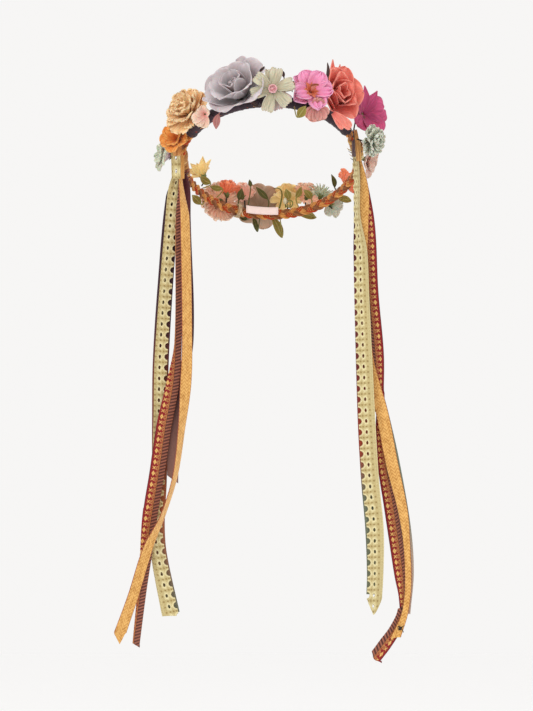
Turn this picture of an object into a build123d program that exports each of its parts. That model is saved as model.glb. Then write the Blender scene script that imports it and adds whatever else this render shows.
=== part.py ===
from build123d import *
import math
import os

# Flower crown: a wire hoop inside a three-strand braid, fabric blossoms wired round the outside,
# and long trimmings that hang from a tie at each side. Millimetres, +Z up, the front is -Y.
# The origin is the centre of the head opening. The hoop leans back, so its front is high.

# ---- driving dimensions ----
HALF_WIDTH = 88.0          # braid centre line, side to side
HALF_DEPTH = 100.0         # braid centre line, front to back
LEAN = 36.0                # degrees between the hoop's plane and level
WIRE_RADIUS = 0.4
STRAND_RADIUS = 2.5
STRAND_OFFSET = 3.0        # from the wire's centre to each strand's centre
GAP = 0.3                  # air left between soft pieces
TAPE_THICKNESS = 0.5
TIE_THICKNESS = 1.6
TIE_LENGTH = 20.0
TWINE_RADIUS = 0.6
RIBBON_THICKNESS = 0.8
RIBBON_DROP = 10.8         # from the braid's centre line down to where a trimming starts
PETAL_THICKNESS = 0.8
STEM_RADIUS = 0.7
CALYX_LENGTH = 4.0
CALYX_RADIUS = 2.6
TAPE_FIRST, TAPE_LAST = -66, 64        # where the floral tape starts and ends, in degrees
LEFT_TIE_ANGLE = 263.8     # the same place as -96.2 degrees
RIGHT_TIE_ANGLE = 79.2
TWINE_ANGLES = (-157, -156, -155)
LABEL_WIDTH = 9.0
LABEL_FIRST, LABEL_LAST = 173.5, 199.0
LABEL_DROP = 1.0           # how far the label's centre line lies below the braid's
WAIST_SHARE = 0.22         # a flower head's foot, as a share of its radius
SHOULDER_SHARE = 0.75      # its radius part of the way back, and how far back that is
SHOULDER_BACK = 0.55
KNOT_SIZE = 4.0
LAYER_STEP = 3.5           # between the upright layers that the trimmings hang in

BRAID_RADIUS = STRAND_OFFSET + STRAND_RADIUS
TAPE_RADIUS = BRAID_RADIUS + GAP + TAPE_THICKNESS

# The oval is four tangent arcs: tight ones at front and back, flatter ones at the sides.
ARC_SHIFT = (HALF_DEPTH - HALF_WIDTH) / (2 - math.sqrt(2))
END_RADIUS = HALF_DEPTH - ARC_SHIFT
SIDE_RADIUS = HALF_WIDTH + ARC_SHIFT
ARC_CENTRES = [(0, -ARC_SHIFT), (-ARC_SHIFT, 0), (0, ARC_SHIFT), (ARC_SHIFT, 0)]
ARC_RADII = [END_RADIUS, SIDE_RADIUS, END_RADIUS, SIDE_RADIUS]
LEAN_TURN = Rot(-LEAN, 0, 0)

parts = {}


# ---- places on the hoop; angles run from the front towards +X ----
def on_band(angle, out=0.0, up=0.0):
    """A point near the braid: round it, then outwards, then above the hoop's own plane."""
    quarter = math.floor((angle + 45) / 90) % 4
    turn = math.radians(angle)
    radius = ARC_RADII[quarter] + out
    across = ARC_CENTRES[quarter][0] + radius * math.sin(turn)
    along = ARC_CENTRES[quarter][1] - radius * math.cos(turn)
    return (LEAN_TURN * Pos(across, along, up)).position


def oval_path(first, last, out=0.0, up=0.0):
    """The oval from one angle to another, as tangent arcs in the hoop's own plane."""
    arcs = []
    angle = first
    while angle < last - 0.01:
        quarter = math.floor((angle + 45) / 90)
        stop = min(last, 90 * quarter + 45)
        x, y = ARC_CENTRES[quarter % 4]
        radius = ARC_RADII[quarter % 4] + out
        arcs.append(CenterArc((x, y, up), radius, angle - 90, stop - angle))
        angle = stop
    return Wire(arcs)


def swept(path, section):
    """A section swept along a path that lies in the hoop's plane, then leant back with it."""
    start = Plane(origin=path @ 0, z_dir=path % 0)
    return LEAN_TURN * sweep(start * section, path=path)


def ring_of(section, out=0.0, up=0.0):
    return swept(oval_path(-45, 315, out, up), section)


def sleeve(angle, length, inner, outer):
    """A tube round the braid, centred at an angle."""
    half = math.degrees(length / 2 / SIDE_RADIUS)
    return swept(oval_path(angle - half, angle + half), Circle(outer) - Circle(inner))


def group(*solids):
    return Compound(children=[solid for shape in solids for solid in shape.solids()])


# ---- blossoms ----
def facing(yaw, pitch):
    """A direction: yaw from the front towards +X, pitch upwards, in degrees."""
    turn = math.radians(yaw)
    rise = math.radians(pitch)
    return Vector(math.sin(turn) * math.cos(rise), -math.cos(turn) * math.cos(rise), math.sin(rise))


def flower_head(radius, depth, dome):
    """A round head facing +Z: narrow behind, widest at its rim, domed or flat in front."""
    waist = max(radius * WAIST_SHARE, CALYX_RADIUS)
    shoulder = (radius * SHOULDER_SHARE, -depth * SHOULDER_BACK)
    side = Polyline((0, -depth), (waist, -depth), shoulder, (radius, 0))
    outline = [side, Line((0, dome), (0, -depth))]
    if dome > 0:
        ball = (radius**2 + dome**2) / (2 * dome)
        half = math.asin(radius / ball) / 2
        middle = (ball * math.sin(half), dome - ball * (1 - math.cos(half)))
        outline.append(ThreePointArc((radius, 0), middle, (0, dome)))
    else:
        outline.append(Line((radius, 0), (0, 0)))
    return revolve(Plane.XZ * make_face(outline), Axis.Z)


def bead(radius, length, back=0.0):
    """A bud or seed facing +Z: an ellipsoid standing on the plane at `back`."""
    return Pos(0, 0, back + length / 2) * scale(Sphere(1), by=(radius, radius, length / 2))


def rod(start, end, radius):
    along = end - start
    return Plane(origin=start, z_dir=along) * Cylinder(
        radius, along.length, align=(Align.CENTER, Align.CENTER, Align.MIN)
    )


def blossom(angle, out, up, radius, depth, dome, yaw, pitch):
    """The head, the calyx behind it and the stem wire that runs from the calyx to the braid."""
    front = on_band(angle, out, up)
    look = facing(yaw, pitch)
    seat = Plane(origin=front, z_dir=look)
    head = seat * flower_head(radius, depth, dome)
    calyx = Plane(origin=front - look * (depth + CALYX_LENGTH), z_dir=look) * Cone(
        STEM_RADIUS, CALYX_RADIUS, CALYX_LENGTH, align=(Align.CENTER, Align.CENTER, Align.MIN)
    )
    stem_start = front - look * (depth + CALYX_LENGTH)
    braid_centre = on_band(angle)
    reach = (stem_start - braid_centre).normalized() * (TAPE_RADIUS + GAP)
    stem = rod(braid_centre + reach, stem_start, STEM_RADIUS)
    return head, calyx, stem, seat


#    name: (angle, out, up, radius, depth, dome, yaw, pitch)
FRONT_BLOSSOMS = {
    "mint_blossom": (-86, 25, -1, 10, 12, 3, -75, 10),
    "orange_blossom": (-72, 15, 4, 12, 9, 3, -35, 25),
    "apricot_carnation": (-59, 15, 16, 20, 11, 8, -45, 30),
    "cream_pink_blossom": (-48, 19, -9, 8, 6, 2, -30, 0),
    "grey_rose": (-22, 22, 9, 27, 15, 9, -18, 30),
    "cosmos": (1.5, 25, -5, 20, 6, 0, 0, 12),
    "pink_azalea": (26, 20, 10, 19, 10, 0, 22, 25),
    "rose_petal_blossom": (30, 15, -16, 10, 6, 2, 20, -10),
    "coral_rose": (53, 14, 30, 23, 24, 6, 40, 20),
    "magenta_blossom": (71, 20, 28, 18, 13, 4, 62, 15),
    "sage_carnation": (70, 26, -11, 12, 10, 5, 60, 0),
    "dusty_pink_blossom": (100, 16, 9, 10, 9, 3, 70, -10),
}
BACK_BLOSSOMS = {
    "pale_yellow_blossom": (-122, 0, 27, 12, 11, 2, -140, 45),
    "coral_orange_blossom": (-146, 4, 26, 10, 10, 2, -160, 50),
    "pale_pink_blossom": (-162, 6, 31, 9, 9, 2, -175, 50),
    "peach_frill_blossom": (-142, 24, 6, 19, 12, 3, -150, -10),
    "taupe_rose": (-175, 26, 21, 17, 12, 4, 180, 20),
    "primrose_blossom": (167, 8, 27, 12, 10, 2, 168, 45),
    "peach_pink_blossom": (153, 10, 27, 11, 10, 2, 150, 45),
    "mint_spike_blossom": (141, 6, 23, 8, 9, 2, 145, 55),
    "sage_petal_blossom": (136, 21, 2, 9, 7, 2, 135, -5),
    "back_coral_blossom": (122, 12, 15, 13, 8, 3, 110, 35),
}


def make_blossoms():
    calyxes = {"front": [], "back": []}
    stems = {"front": [], "back": []}
    seats = {}
    for side, table in (("front", FRONT_BLOSSOMS), ("back", BACK_BLOSSOMS)):
        for name, values in table.items():
            head, calyx, stem, seat = blossom(*values)
            parts[name] = head
            calyxes[side].append(calyx)
            stems[side].append(stem)
            seats[name] = seat
    for side in calyxes:
        parts[side + "_calyxes"] = group(*calyxes[side])
        parts[side + "_stem_wires"] = group(*stems[side])
    parts["cosmos_centre"] = seats["cosmos"] * bead(4.5, 5, GAP)
    parts["azalea_throat"] = seats["pink_azalea"] * bead(5, 8, GAP)


# ---- buds and leaves ----
def bud(angle, out, up, radius, length, yaw, pitch):
    return Plane(origin=on_band(angle, out, up), z_dir=facing(yaw, pitch)) * bead(radius, length)


def leaf(centre, length, width, yaw, tilt):
    """A lens-shaped blade: `tilt` turns it in its own plane from upright towards +X."""
    tip = (0, length / 2)
    foot = (0, -length / 2)
    right = ThreePointArc(foot, (width / 2, 0), tip)
    left = ThreePointArc(tip, (-width / 2, 0), foot)
    blade = extrude(make_face([right, left]), PETAL_THICKNESS / 2, both=True)
    upright = Plane(origin=centre, x_dir=facing(yaw + 90, 0), z_dir=facing(yaw, 0))
    return upright * Rot(0, 0, -tilt) * blade


#    (centre x, y, z), length, width, yaw, tilt
FRONT_LEAVES = [
    ((-53, -92, 39), 15, 8, -20, 170),
    ((32, -106, 49), 14, 9, 10, -35),
    ((58, -60, 88), 18, 4, 30, -5),
    ((-18, -104, 50), 10, 4, -10, 60),
    ((-10, -88, 95), 9, 4, -10, -30),
    ((19, -86, 94), 9, 4, 10, 30),
]
OLIVE_LEAVES = [
    ((-65, 45, -23), 13, 8, -20, 60),
    ((-54, 62, -31), 13, 6, -15, 80),
    ((-74, 58, -43), 13, 8, -15, 45),
    ((18, 80, -38), 11, 7, 5, 20),
    ((29, 77, -36), 12, 6, 10, -25),
    ((38, 72, -38), 12, 7, 10, 40),
    ((7, 90, -71), 25, 6, 0, 25),
    ((36, 87, -58), 19, 7, 10, 80),
    ((74, 63, -42), 19, 7, 25, 75),
]
GREEN_LEAVES = [
    ((-30, 78, -38), 12, 7, -10, -15),
    ((-20, 84, -27), 7, 4, -5, 10),
    ((-8, 79, -37), 17, 6, 0, 45),
    ((-15, 91, -68), 17, 5, 0, 15),
    ((-27, 89, -62), 9, 6, -10, 70),
    ((64, 48, -24), 14, 5, 20, 15),
]


def make_foliage():
    parts["front_leaves"] = group(*[leaf(*values) for values in FRONT_LEAVES])
    parts["back_olive_leaves"] = group(*[leaf(*values) for values in OLIVE_LEAVES])
    parts["back_green_leaves"] = group(*[leaf(*values) for values in GREEN_LEAVES])
    parts["cream_bud"] = bud(15, 8, 16, 4.5, 11, 5, 45)
    parts["cream_seed_buds"] = group(
        bud(84, 14, 8, 3, 7, 40, 20),
        bud(88, 14, 2, 3, 7, 50, 0),
    )
    parts["white_buds"] = group(
        bud(168, -5, 12, 2.5, 7, 180, 60),
        bud(146, -2, 16, 2.5, 6, 150, 60),
    )


def make_tendril():
    """A thin curled stem: three tangent arcs that rise from behind the braid."""
    foot = on_band(173, -2, BRAID_RADIUS + 2)
    first = ThreePointArc((0, 0), (2.5, 6), (1, 12))
    second = TangentArc([first @ 1, (-2, 20)], tangent=first % 1)
    third = TangentArc([second @ 1, (3, 22)], tangent=second % 1)
    path = Wire([first, second, third])
    curl = sweep(Plane(origin=path @ 0, z_dir=path % 0) * Circle(STEM_RADIUS), path=path)
    parts["curled_tendril"] = Plane(origin=foot, x_dir=(1, 0, 0), z_dir=(0, -1, 0)) * curl


# ---- the band ----
def make_band():
    parts["hoop_wire"] = ring_of(Circle(WIRE_RADIUS))
    strands = ("jacquard_strand", "brown_strand", "tan_strand")
    for name, turn in zip(strands, (90, 210, 330)):
        out = STRAND_OFFSET * math.cos(math.radians(turn))
        up = STRAND_OFFSET * math.sin(math.radians(turn))
        parts[name] = ring_of(Circle(STRAND_RADIUS), out, up)
    inner = BRAID_RADIUS + GAP
    cover = Circle(TAPE_RADIUS) - Circle(inner)
    parts["floral_tape"] = swept(oval_path(TAPE_FIRST, TAPE_LAST), cover)
    parts["left_tie"] = sleeve(LEFT_TIE_ANGLE, TIE_LENGTH, inner, inner + TIE_THICKNESS)
    parts["right_tie"] = sleeve(RIGHT_TIE_ANGLE, TIE_LENGTH, inner, inner + TIE_THICKNESS)
    loops = []
    for angle in TWINE_ANGLES:
        centre = on_band(angle)
        run = on_band(angle + 0.5) - on_band(angle - 0.5)
        loops.append(Plane(origin=centre, z_dir=run) * Torus(inner + TWINE_RADIUS, TWINE_RADIUS))
    parts["twine_tie"] = group(*loops)
    label = Rectangle(PETAL_THICKNESS, LABEL_WIDTH)
    label_line = oval_path(LABEL_FIRST, LABEL_LAST, -inner - PETAL_THICKNESS, -LABEL_DROP)
    parts["blank_label"] = swept(label_line, label)


# ---- hanging trimmings ----
def trimming(y, stations, left_cut=0.0, right_cut=0.0):
    """A flat strip that hangs in its own upright layer at depth y.

    Each station is (height, centre, width). The cuts lower the two corners of the end.
    """
    left = [(x - width / 2, z) for z, x, width in stations]
    right = [(x + width / 2, z) for z, x, width in stations]
    left[-1] = (left[-1][0], left[-1][1] - left_cut)
    right[-1] = (right[-1][0], right[-1][1] - right_cut)
    outline = Polyline(*left, *reversed(right), close=True)
    strip = extrude(Plane.XZ * make_face(outline), RIBBON_THICKNESS / 2, both=True)
    return Pos(0, y, 0) * strip


def top_of(y):
    """The height where a trimming in the layer y starts, just under its tie."""
    return -y * math.tan(math.radians(LEAN)) - RIBBON_DROP


def layers(front, names):
    """The depth of each trimming's layer, from the front one backwards."""
    return {name: front + LAYER_STEP * place for place, name in enumerate(names)}


LEFT_LAYERS = layers(2.5, ("gold", "jacquard", "plum", "lace", "backing"))
RIGHT_LAYERS = layers(-23.5, ("lace", "backing", "gold", "jacquard", "sage"))


def make_left_trimmings():
    y = LEFT_LAYERS["gold"]
    parts["left_gold_ribbon"] = trimming(y, [
        (top_of(y), -87, 6), (-46, -85, 9), (-184, -83, 10), (-227, -84.5, 11), (-270, -88.5, 6),
        (-318, -95, 4), (-357, -107, 4), (-390, -122, 10), (-438, -137, 11), (-478, -151, 13),
    ], -6, 9)
    y = LEFT_LAYERS["jacquard"]
    parts["left_jacquard_ribbon"] = trimming(y, [
        (top_of(y), -90, 6), (-184, -92, 7), (-227, -96.5, 13), (-270, -104, 16), (-314, -110.5, 16),
        (-357, -119.5, 15), (-396, -124, 12), (-432, -128, 9), (-478, -133, 7),
    ], 2, 14)
    y = LEFT_LAYERS["plum"]
    parts["left_plum_ribbon"] = trimming(y, [
        (top_of(y), -86, 8), (-60, -84, 9), (-180, -80, 9), (-240, -85, 12), (-318, -98, 12),
    ], 0, 8)
    y = LEFT_LAYERS["lace"]
    parts["left_lace"] = trimming(y, [
        (top_of(y), -95, 13), (-46, -97.5, 13), (-129, -104, 12.5), (-205, -109.5, 13),
        (-266, -112, 14), (-325, -110, 16), (-396, -112, 18), (-458, -100, 19),
    ])
    y = LEFT_LAYERS["backing"]
    parts["left_backing_ribbon"] = trimming(y, [
        (top_of(y), -95, 13), (-129, -103, 14), (-205, -107, 15), (-266, -110, 16),
        (-325, -108, 17), (-396, -111, 19), (-456, -100, 19),
    ])


def make_right_trimmings():
    y = RIGHT_LAYERS["lace"]
    parts["right_lace"] = trimming(y, [
        (top_of(y), 87, 6), (-57, 87, 6), (-92, 90.5, 13), (-133, 91.5, 15), (-254, 96.5, 17),
        (-323, 100.5, 18), (-369, 105, 18), (-414, 105, 14), (-445, 101.5, 8),
    ], 0, 11)
    y = RIGHT_LAYERS["backing"]
    parts["right_backing_ribbon"] = trimming(y, [
        (top_of(y), 87, 6), (-57, 87, 6), (-92, 90, 13), (-254, 96, 17), (-323, 100, 18),
        (-369, 104, 18), (-414, 104, 12),
    ])
    y = RIGHT_LAYERS["gold"]
    parts["right_gold_ribbon"] = trimming(y, [
        (top_of(y), 91, 8), (-26, 94, 10), (-66, 94, 9), (-110, 92, 12), (-196, 97, 13),
        (-254, 112, 14), (-300, 120.5, 14), (-369, 132, 12), (-426, 138.5, 7), (-456, 135, 6),
        (-478, 126, 10),
    ], 3, -2)
    y = RIGHT_LAYERS["jacquard"]
    parts["right_jacquard_ribbon"] = trimming(y, [
        (top_of(y), 93, 8), (-66, 98, 14), (-133, 101, 15), (-196, 107, 14), (-254, 109, 10),
        (-300, 111, 13), (-369, 121.5, 15), (-414, 128, 14), (-447, 131, 6), (-470, 120, 20),
        (-490, 108, 9),
    ], 0, 19)
    y = RIGHT_LAYERS["sage"]
    parts["right_sage_ribbon"] = trimming(y, [
        (top_of(y), 92, 6), (-66, 93, 9), (-196, 99, 10), (-254, 113, 11), (-300, 123, 12),
        (-369, 135, 12), (-414, 139, 8), (-456, 136.5, 6),
    ])
    knot_spot = Pos(130, (RIGHT_LAYERS["gold"] + RIGHT_LAYERS["jacquard"]) / 2, -470)
    parts["thread_knot"] = knot_spot * Box(KNOT_SIZE, LAYER_STEP - RIBBON_THICKNESS, KNOT_SIZE)


make_band()
make_blossoms()
make_foliage()
make_tendril()
make_left_trimmings()
make_right_trimmings()

os.makedirs("parts", exist_ok=True)
for name, shape in parts.items():
    shape.label = name
    export_step(shape, f"parts/{name}.step")
    print(f"{name:26s} {shape.volume:10.1f} mm3")
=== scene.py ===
import math
import random

import bpy
import bmesh
from mathutils import Matrix, Vector, noise


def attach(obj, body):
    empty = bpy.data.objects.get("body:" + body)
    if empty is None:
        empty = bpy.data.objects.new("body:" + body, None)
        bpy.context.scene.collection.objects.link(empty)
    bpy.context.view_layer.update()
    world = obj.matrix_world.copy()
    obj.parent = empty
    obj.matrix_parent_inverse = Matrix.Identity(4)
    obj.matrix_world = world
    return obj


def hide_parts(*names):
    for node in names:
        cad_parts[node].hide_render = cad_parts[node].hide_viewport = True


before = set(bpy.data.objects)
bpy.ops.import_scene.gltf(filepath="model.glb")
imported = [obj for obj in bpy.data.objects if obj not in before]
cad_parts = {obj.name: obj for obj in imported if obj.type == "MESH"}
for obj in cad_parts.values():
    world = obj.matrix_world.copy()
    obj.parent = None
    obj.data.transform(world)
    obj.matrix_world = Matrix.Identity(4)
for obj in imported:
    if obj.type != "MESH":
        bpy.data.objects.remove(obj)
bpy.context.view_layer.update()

MM = 0.001
TAU = 2 * math.pi
GOLDEN_ANGLE = 2.39996

# ---- the hoop, as the CAD has it ----
HALF_WIDTH = 0.088
HALF_DEPTH = 0.100
LEAN = math.radians(36)
ARC_SHIFT = (HALF_DEPTH - HALF_WIDTH) / (2 - math.sqrt(2))
END_RADIUS = HALF_DEPTH - ARC_SHIFT
SIDE_RADIUS = HALF_WIDTH + ARC_SHIFT
ARC_CENTRES = [(0, -ARC_SHIFT), (-ARC_SHIFT, 0), (0, ARC_SHIFT), (ARC_SHIFT, 0)]
ARC_RADII = [END_RADIUS, SIDE_RADIUS, END_RADIUS, SIDE_RADIUS]
QUARTER_LENGTHS = [radius * math.pi / 2 for radius in ARC_RADII]
HOOP_LENGTH = sum(QUARTER_LENGTHS)
MEAN_RADIUS = (HALF_WIDTH + HALF_DEPTH) / 2
LEAN_TURN = Matrix.Rotation(-LEAN, 3, "X")
ABOVE = LEAN_TURN @ Vector((0, 0, 1))


def outward(angle):
    """The unit direction out of the hoop at an angle from the front towards +X."""
    return LEAN_TURN @ Vector((math.sin(angle), -math.cos(angle), 0))


def on_band(angle, out=0.0, up=0.0):
    """A point near the braid; the angle is in radians, the rest in metres."""
    quarter = math.floor((angle + math.pi / 4) / (math.pi / 2)) % 4
    x, y = ARC_CENTRES[quarter]
    radius = ARC_RADII[quarter] + out
    return LEAN_TURN @ Vector((x + radius * math.sin(angle), y - radius * math.cos(angle), up))


def band_frame(angle):
    """(centre, outwards, up) of the braid at an angle."""
    return on_band(angle), outward(angle), ABOVE


def angle_at(share):
    """The angle that lies a share of the hoop's length round from -45 degrees."""
    length = (share % 1.0) * HOOP_LENGTH
    for quarter in range(4):
        if length <= QUARTER_LENGTHS[quarter] or quarter == 3:
            return -math.pi / 4 + (quarter + length / QUARTER_LENGTHS[quarter]) * math.pi / 2
        length -= QUARTER_LENGTHS[quarter]


# ---- meshes ----
def new_object(name, mesh, material, body, replaces=()):
    piece = bpy.data.objects.new(name, mesh)
    bpy.context.scene.collection.objects.link(piece)
    mesh.materials.append(material)
    for face in mesh.polygons:
        face.use_smooth = True
    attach(piece, body)
    if replaces:
        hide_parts(*replaces)
    return piece


class Sheets:
    """Collects grid surfaces with a colour and a UV at each point into one mesh."""

    def __init__(self):
        self.points = []
        self.faces = []
        self.colours = []
        self.uvs = []

    def grid(self, rows, closed=False):
        """rows: lists of (point, colour, uv), all of one length; closed joins each row's ends."""
        start = len(self.points)
        count = len(rows[0])
        for row in rows:
            for point, colour, uv in row:
                self.points.append(point)
                self.colours.append(colour)
                self.uvs.append(uv)
        last = count if closed else count - 1
        for i in range(len(rows) - 1):
            for j in range(last):
                a = start + i * count + j
                b = start + i * count + (j + 1) % count
                self.faces.append((a, b, b + count, a + count))

    def cap(self, first, count, flip=False):
        """Closes a ring of points that starts at an index."""
        ring = list(range(first, first + count))
        self.faces.append(tuple(reversed(ring)) if flip else tuple(ring))

    def mesh(self, name):
        mesh = bpy.data.meshes.new(name)
        mesh.from_pydata([tuple(p) for p in self.points], [], self.faces)
        tint = mesh.color_attributes.new("tint", "FLOAT_COLOR", "POINT")
        for i, colour in enumerate(self.colours):
            tint.data[i].color = (*colour, 1.0)
        layer = mesh.uv_layers.new(name="along")
        for loop in mesh.loops:
            layer.data[loop.index].uv = self.uvs[loop.vertex_index]
        mesh.validate()
        mesh.update()
        return mesh


# ---- materials ----
def link(tree, out_node, out_name, in_node, in_name):
    tree.links.new(out_node.outputs[out_name], in_node.inputs[in_name])


def node(tree, kind, **settings):
    made = tree.nodes.new(kind)
    for key, value in settings.items():
        if hasattr(made, key):
            setattr(made, key, value)
        else:
            made.inputs[key.replace("_", " ")].default_value = value
    return made


def multiplied(tree, first, second):
    """The product of two colour sockets. The sockets go by place, because their names repeat."""
    made = node(tree, "ShaderNodeMix", data_type="RGBA", blend_type="MULTIPLY")
    made.inputs[0].default_value = 1.0
    tree.links.new(first, made.inputs[6])
    tree.links.new(second, made.inputs[7])
    return made.outputs[2]


def new_material(name, roughness, sheen=0.0, subsurface=0.0, metallic=0.0):
    material = bpy.data.materials.new(name)
    material.use_nodes = True
    shader = material.node_tree.nodes["Principled BSDF"]
    shader.inputs["Roughness"].default_value = roughness
    shader.inputs["Sheen Weight"].default_value = sheen
    shader.inputs["Sheen Roughness"].default_value = 0.4
    shader.inputs["Subsurface Weight"].default_value = subsurface
    shader.inputs["Subsurface Scale"].default_value = 0.002
    shader.inputs["Metallic"].default_value = metallic
    shader.inputs["Specular IOR Level"].default_value = 0.25
    return material, material.node_tree, shader


def scaled_uv(tree, across, along):
    """The petal's or ribbon's own coordinates, stretched."""
    uv = node(tree, "ShaderNodeUVMap", uv_map="along")
    stretch = node(tree, "ShaderNodeMapping")
    stretch.inputs["Scale"].default_value = (across, along, 1)
    link(tree, uv, "UV", stretch, "Vector")
    return stretch


def remapped(tree, source, socket, to_low, to_high, from_low=0.0, from_high=1.0):
    """One output of a node, spread from one range to another."""
    made = node(tree, "ShaderNodeMapRange")
    limits = {"From Min": from_low, "From Max": from_high, "To Min": to_low, "To Max": to_high}
    for name, value in limits.items():
        made.inputs[name].default_value = value
    link(tree, source, socket, made, "Value")
    return made


def bumped(tree, source, socket, strength, distance, under=None):
    """Relief from one output of a node, over another relief if there is one."""
    made = node(tree, "ShaderNodeBump", Strength=strength, Distance=distance)
    link(tree, source, socket, made, "Height")
    if under:
        link(tree, under, "Normal", made, "Normal")
    return made


def in_object_space(tree, texture):
    """Gives a texture the object's own coordinates."""
    link(tree, node(tree, "ShaderNodeTexCoord"), "Object", texture, "Vector")
    return texture


def object_noise(tree, scale, detail, roughness):
    settings = {"Scale": scale, "Detail": detail, "Roughness": roughness}
    return in_object_space(tree, node(tree, "ShaderNodeTexNoise", **settings))


def uneven_roughness(tree, shader, source, roughness, less, more):
    rough = remapped(tree, source, "Fac", roughness - less, min(1.0, roughness + more))
    link(tree, rough, "Result", shader, "Roughness")


def petal_material(name, roughness=0.8, vein=0.35, veins=26, crinkle=0.5):
    """Stiffened cloth petals: the tint held by the mesh, veins that run along each petal,
    soft crinkles, uneven dye and a fine weave."""
    material, tree, shader = new_material(name, roughness, sheen=0.25, subsurface=0.12)
    tint = node(tree, "ShaderNodeAttribute", attribute_name="tint")
    streak = node(tree, "ShaderNodeTexNoise", Scale=1.0, Detail=3.0, Roughness=0.55, Distortion=0.6)
    link(tree, scaled_uv(tree, veins, 2.2), "Vector", streak, "Vector")
    blotch = object_noise(tree, 95.0, 4.0, 0.6)
    fold = object_noise(tree, 260.0, 5.0, 0.6)
    threads = in_object_space(tree, node(tree, "ShaderNodeTexVoronoi", Scale=2600.0))
    shade = remapped(tree, streak, "Fac", 1.0 - vein * 0.45, 1.0 + vein * 0.16, 0.30, 0.72)
    patch = remapped(tree, blotch, "Fac", 0.90, 1.06, 0.35, 0.7)
    veined = multiplied(tree, tint.outputs["Color"], shade.outputs["Result"])
    patched = multiplied(tree, veined, patch.outputs["Result"])
    tree.links.new(patched, shader.inputs["Base Color"])
    uneven_roughness(tree, shader, blotch, roughness, 0.10, 0.12)
    bump = bumped(tree, streak, "Fac", 0.35 * vein + 0.1, 0.0005)
    bump = bumped(tree, fold, "Fac", crinkle, 0.0004, under=bump)
    bump = bumped(tree, threads, "Distance", 0.12, 0.0001, under=bump)
    link(tree, bump, "Normal", shader, "Normal")
    return material


def cloth_material(name, roughness, sheen, rib_depth, fleck, rib_along=0.0):
    """Woven trim: mesh tint, ribs counted per millimetre of its length, and uneven dye."""
    material, tree, shader = new_material(name, roughness, sheen=sheen)
    tint = node(tree, "ShaderNodeAttribute", attribute_name="tint")
    colouring = object_noise(tree, 420.0, 5.0, 0.65)
    ribs = node(tree, "ShaderNodeTexWave", wave_type="BANDS", bands_direction="DIAGONAL",
                Scale=0.5, Distortion=0.6, Detail=1.0)
    link(tree, scaled_uv(tree, 0.0, rib_along), "Vector", ribs, "Vector")
    patch = remapped(tree, colouring, "Fac", 1.0 - fleck, 1.0 + fleck * 0.6, 0.32, 0.72)
    # Painted shade: the tint darkens in the grooves between the ribs and lightens a little on their crests.
    groove = remapped(tree, ribs, "Color", 1.0 - rib_depth * 0.5, 1.0 + rib_depth * 0.1)
    dyed = multiplied(tree, tint.outputs["Color"], patch.outputs["Result"])
    ribbed = multiplied(tree, dyed, groove.outputs["Result"])
    tree.links.new(ribbed, shader.inputs["Base Color"])
    uneven_roughness(tree, shader, colouring, roughness, 0.12, 0.10)
    bump = bumped(tree, ribs, "Color", rib_depth, 0.0003)
    bump = bumped(tree, colouring, "Fac", 0.3, 0.0002, under=bump)
    link(tree, bump, "Normal", shader, "Normal")
    return material


def plain_material(name, colour, roughness, grain, metallic=0.0, depth=0.3):
    """Wires, which have no mesh tint."""
    material, tree, shader = new_material(name, roughness, metallic=metallic)
    speck = object_noise(tree, grain, 5.0, 0.6)
    ramp = node(tree, "ShaderNodeValToRGB")
    dark, light = ramp.color_ramp.elements
    dark.position, light.position = 0.3, 0.75
    dark.color = (*[c * 0.72 for c in colour], 1)
    light.color = (*[min(1.0, c * 1.15) for c in colour], 1)
    link(tree, speck, "Fac", ramp, "Fac")
    link(tree, ramp, "Color", shader, "Base Color")
    link(tree, bumped(tree, speck, "Fac", depth, 0.0003), "Normal", shader, "Normal")
    uneven_roughness(tree, shader, speck, roughness, 0.12, 0.12)
    return material


def rgb(red, green, blue):
    """A display colour, 0 to 255, as the linear colour that a shader takes."""
    def linear(value):
        value /= 255
        return value / 12.92 if value <= 0.04045 else ((value + 0.055) / 1.055) ** 2.4
    return (linear(red), linear(green), linear(blue))


def blend_of(first, second, share):
    share = min(1.0, max(0.0, share))
    return tuple(a + (b - a) * share for a, b in zip(first, second))


# ---- petals ----
def facing(yaw, pitch):
    """The unit direction at a yaw from the front towards +X and a pitch upwards, in degrees."""
    turn, rise = math.radians(yaw), math.radians(pitch)
    return Vector((math.sin(turn) * math.cos(rise), -math.cos(turn) * math.cos(rise), math.sin(rise)))


def seat(origin, look):
    """A frame whose Z looks out of the blossom, X to the viewer's right and Y up."""
    across = Vector((0, 0, 1)).cross(look)
    across = across.normalized() if across.length > 1e-6 else Vector((1, 0, 0))
    over = look.cross(across)
    turned = Matrix((across, over, look)).transposed().to_4x4()
    return Matrix.Translation(origin) @ turned


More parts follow.
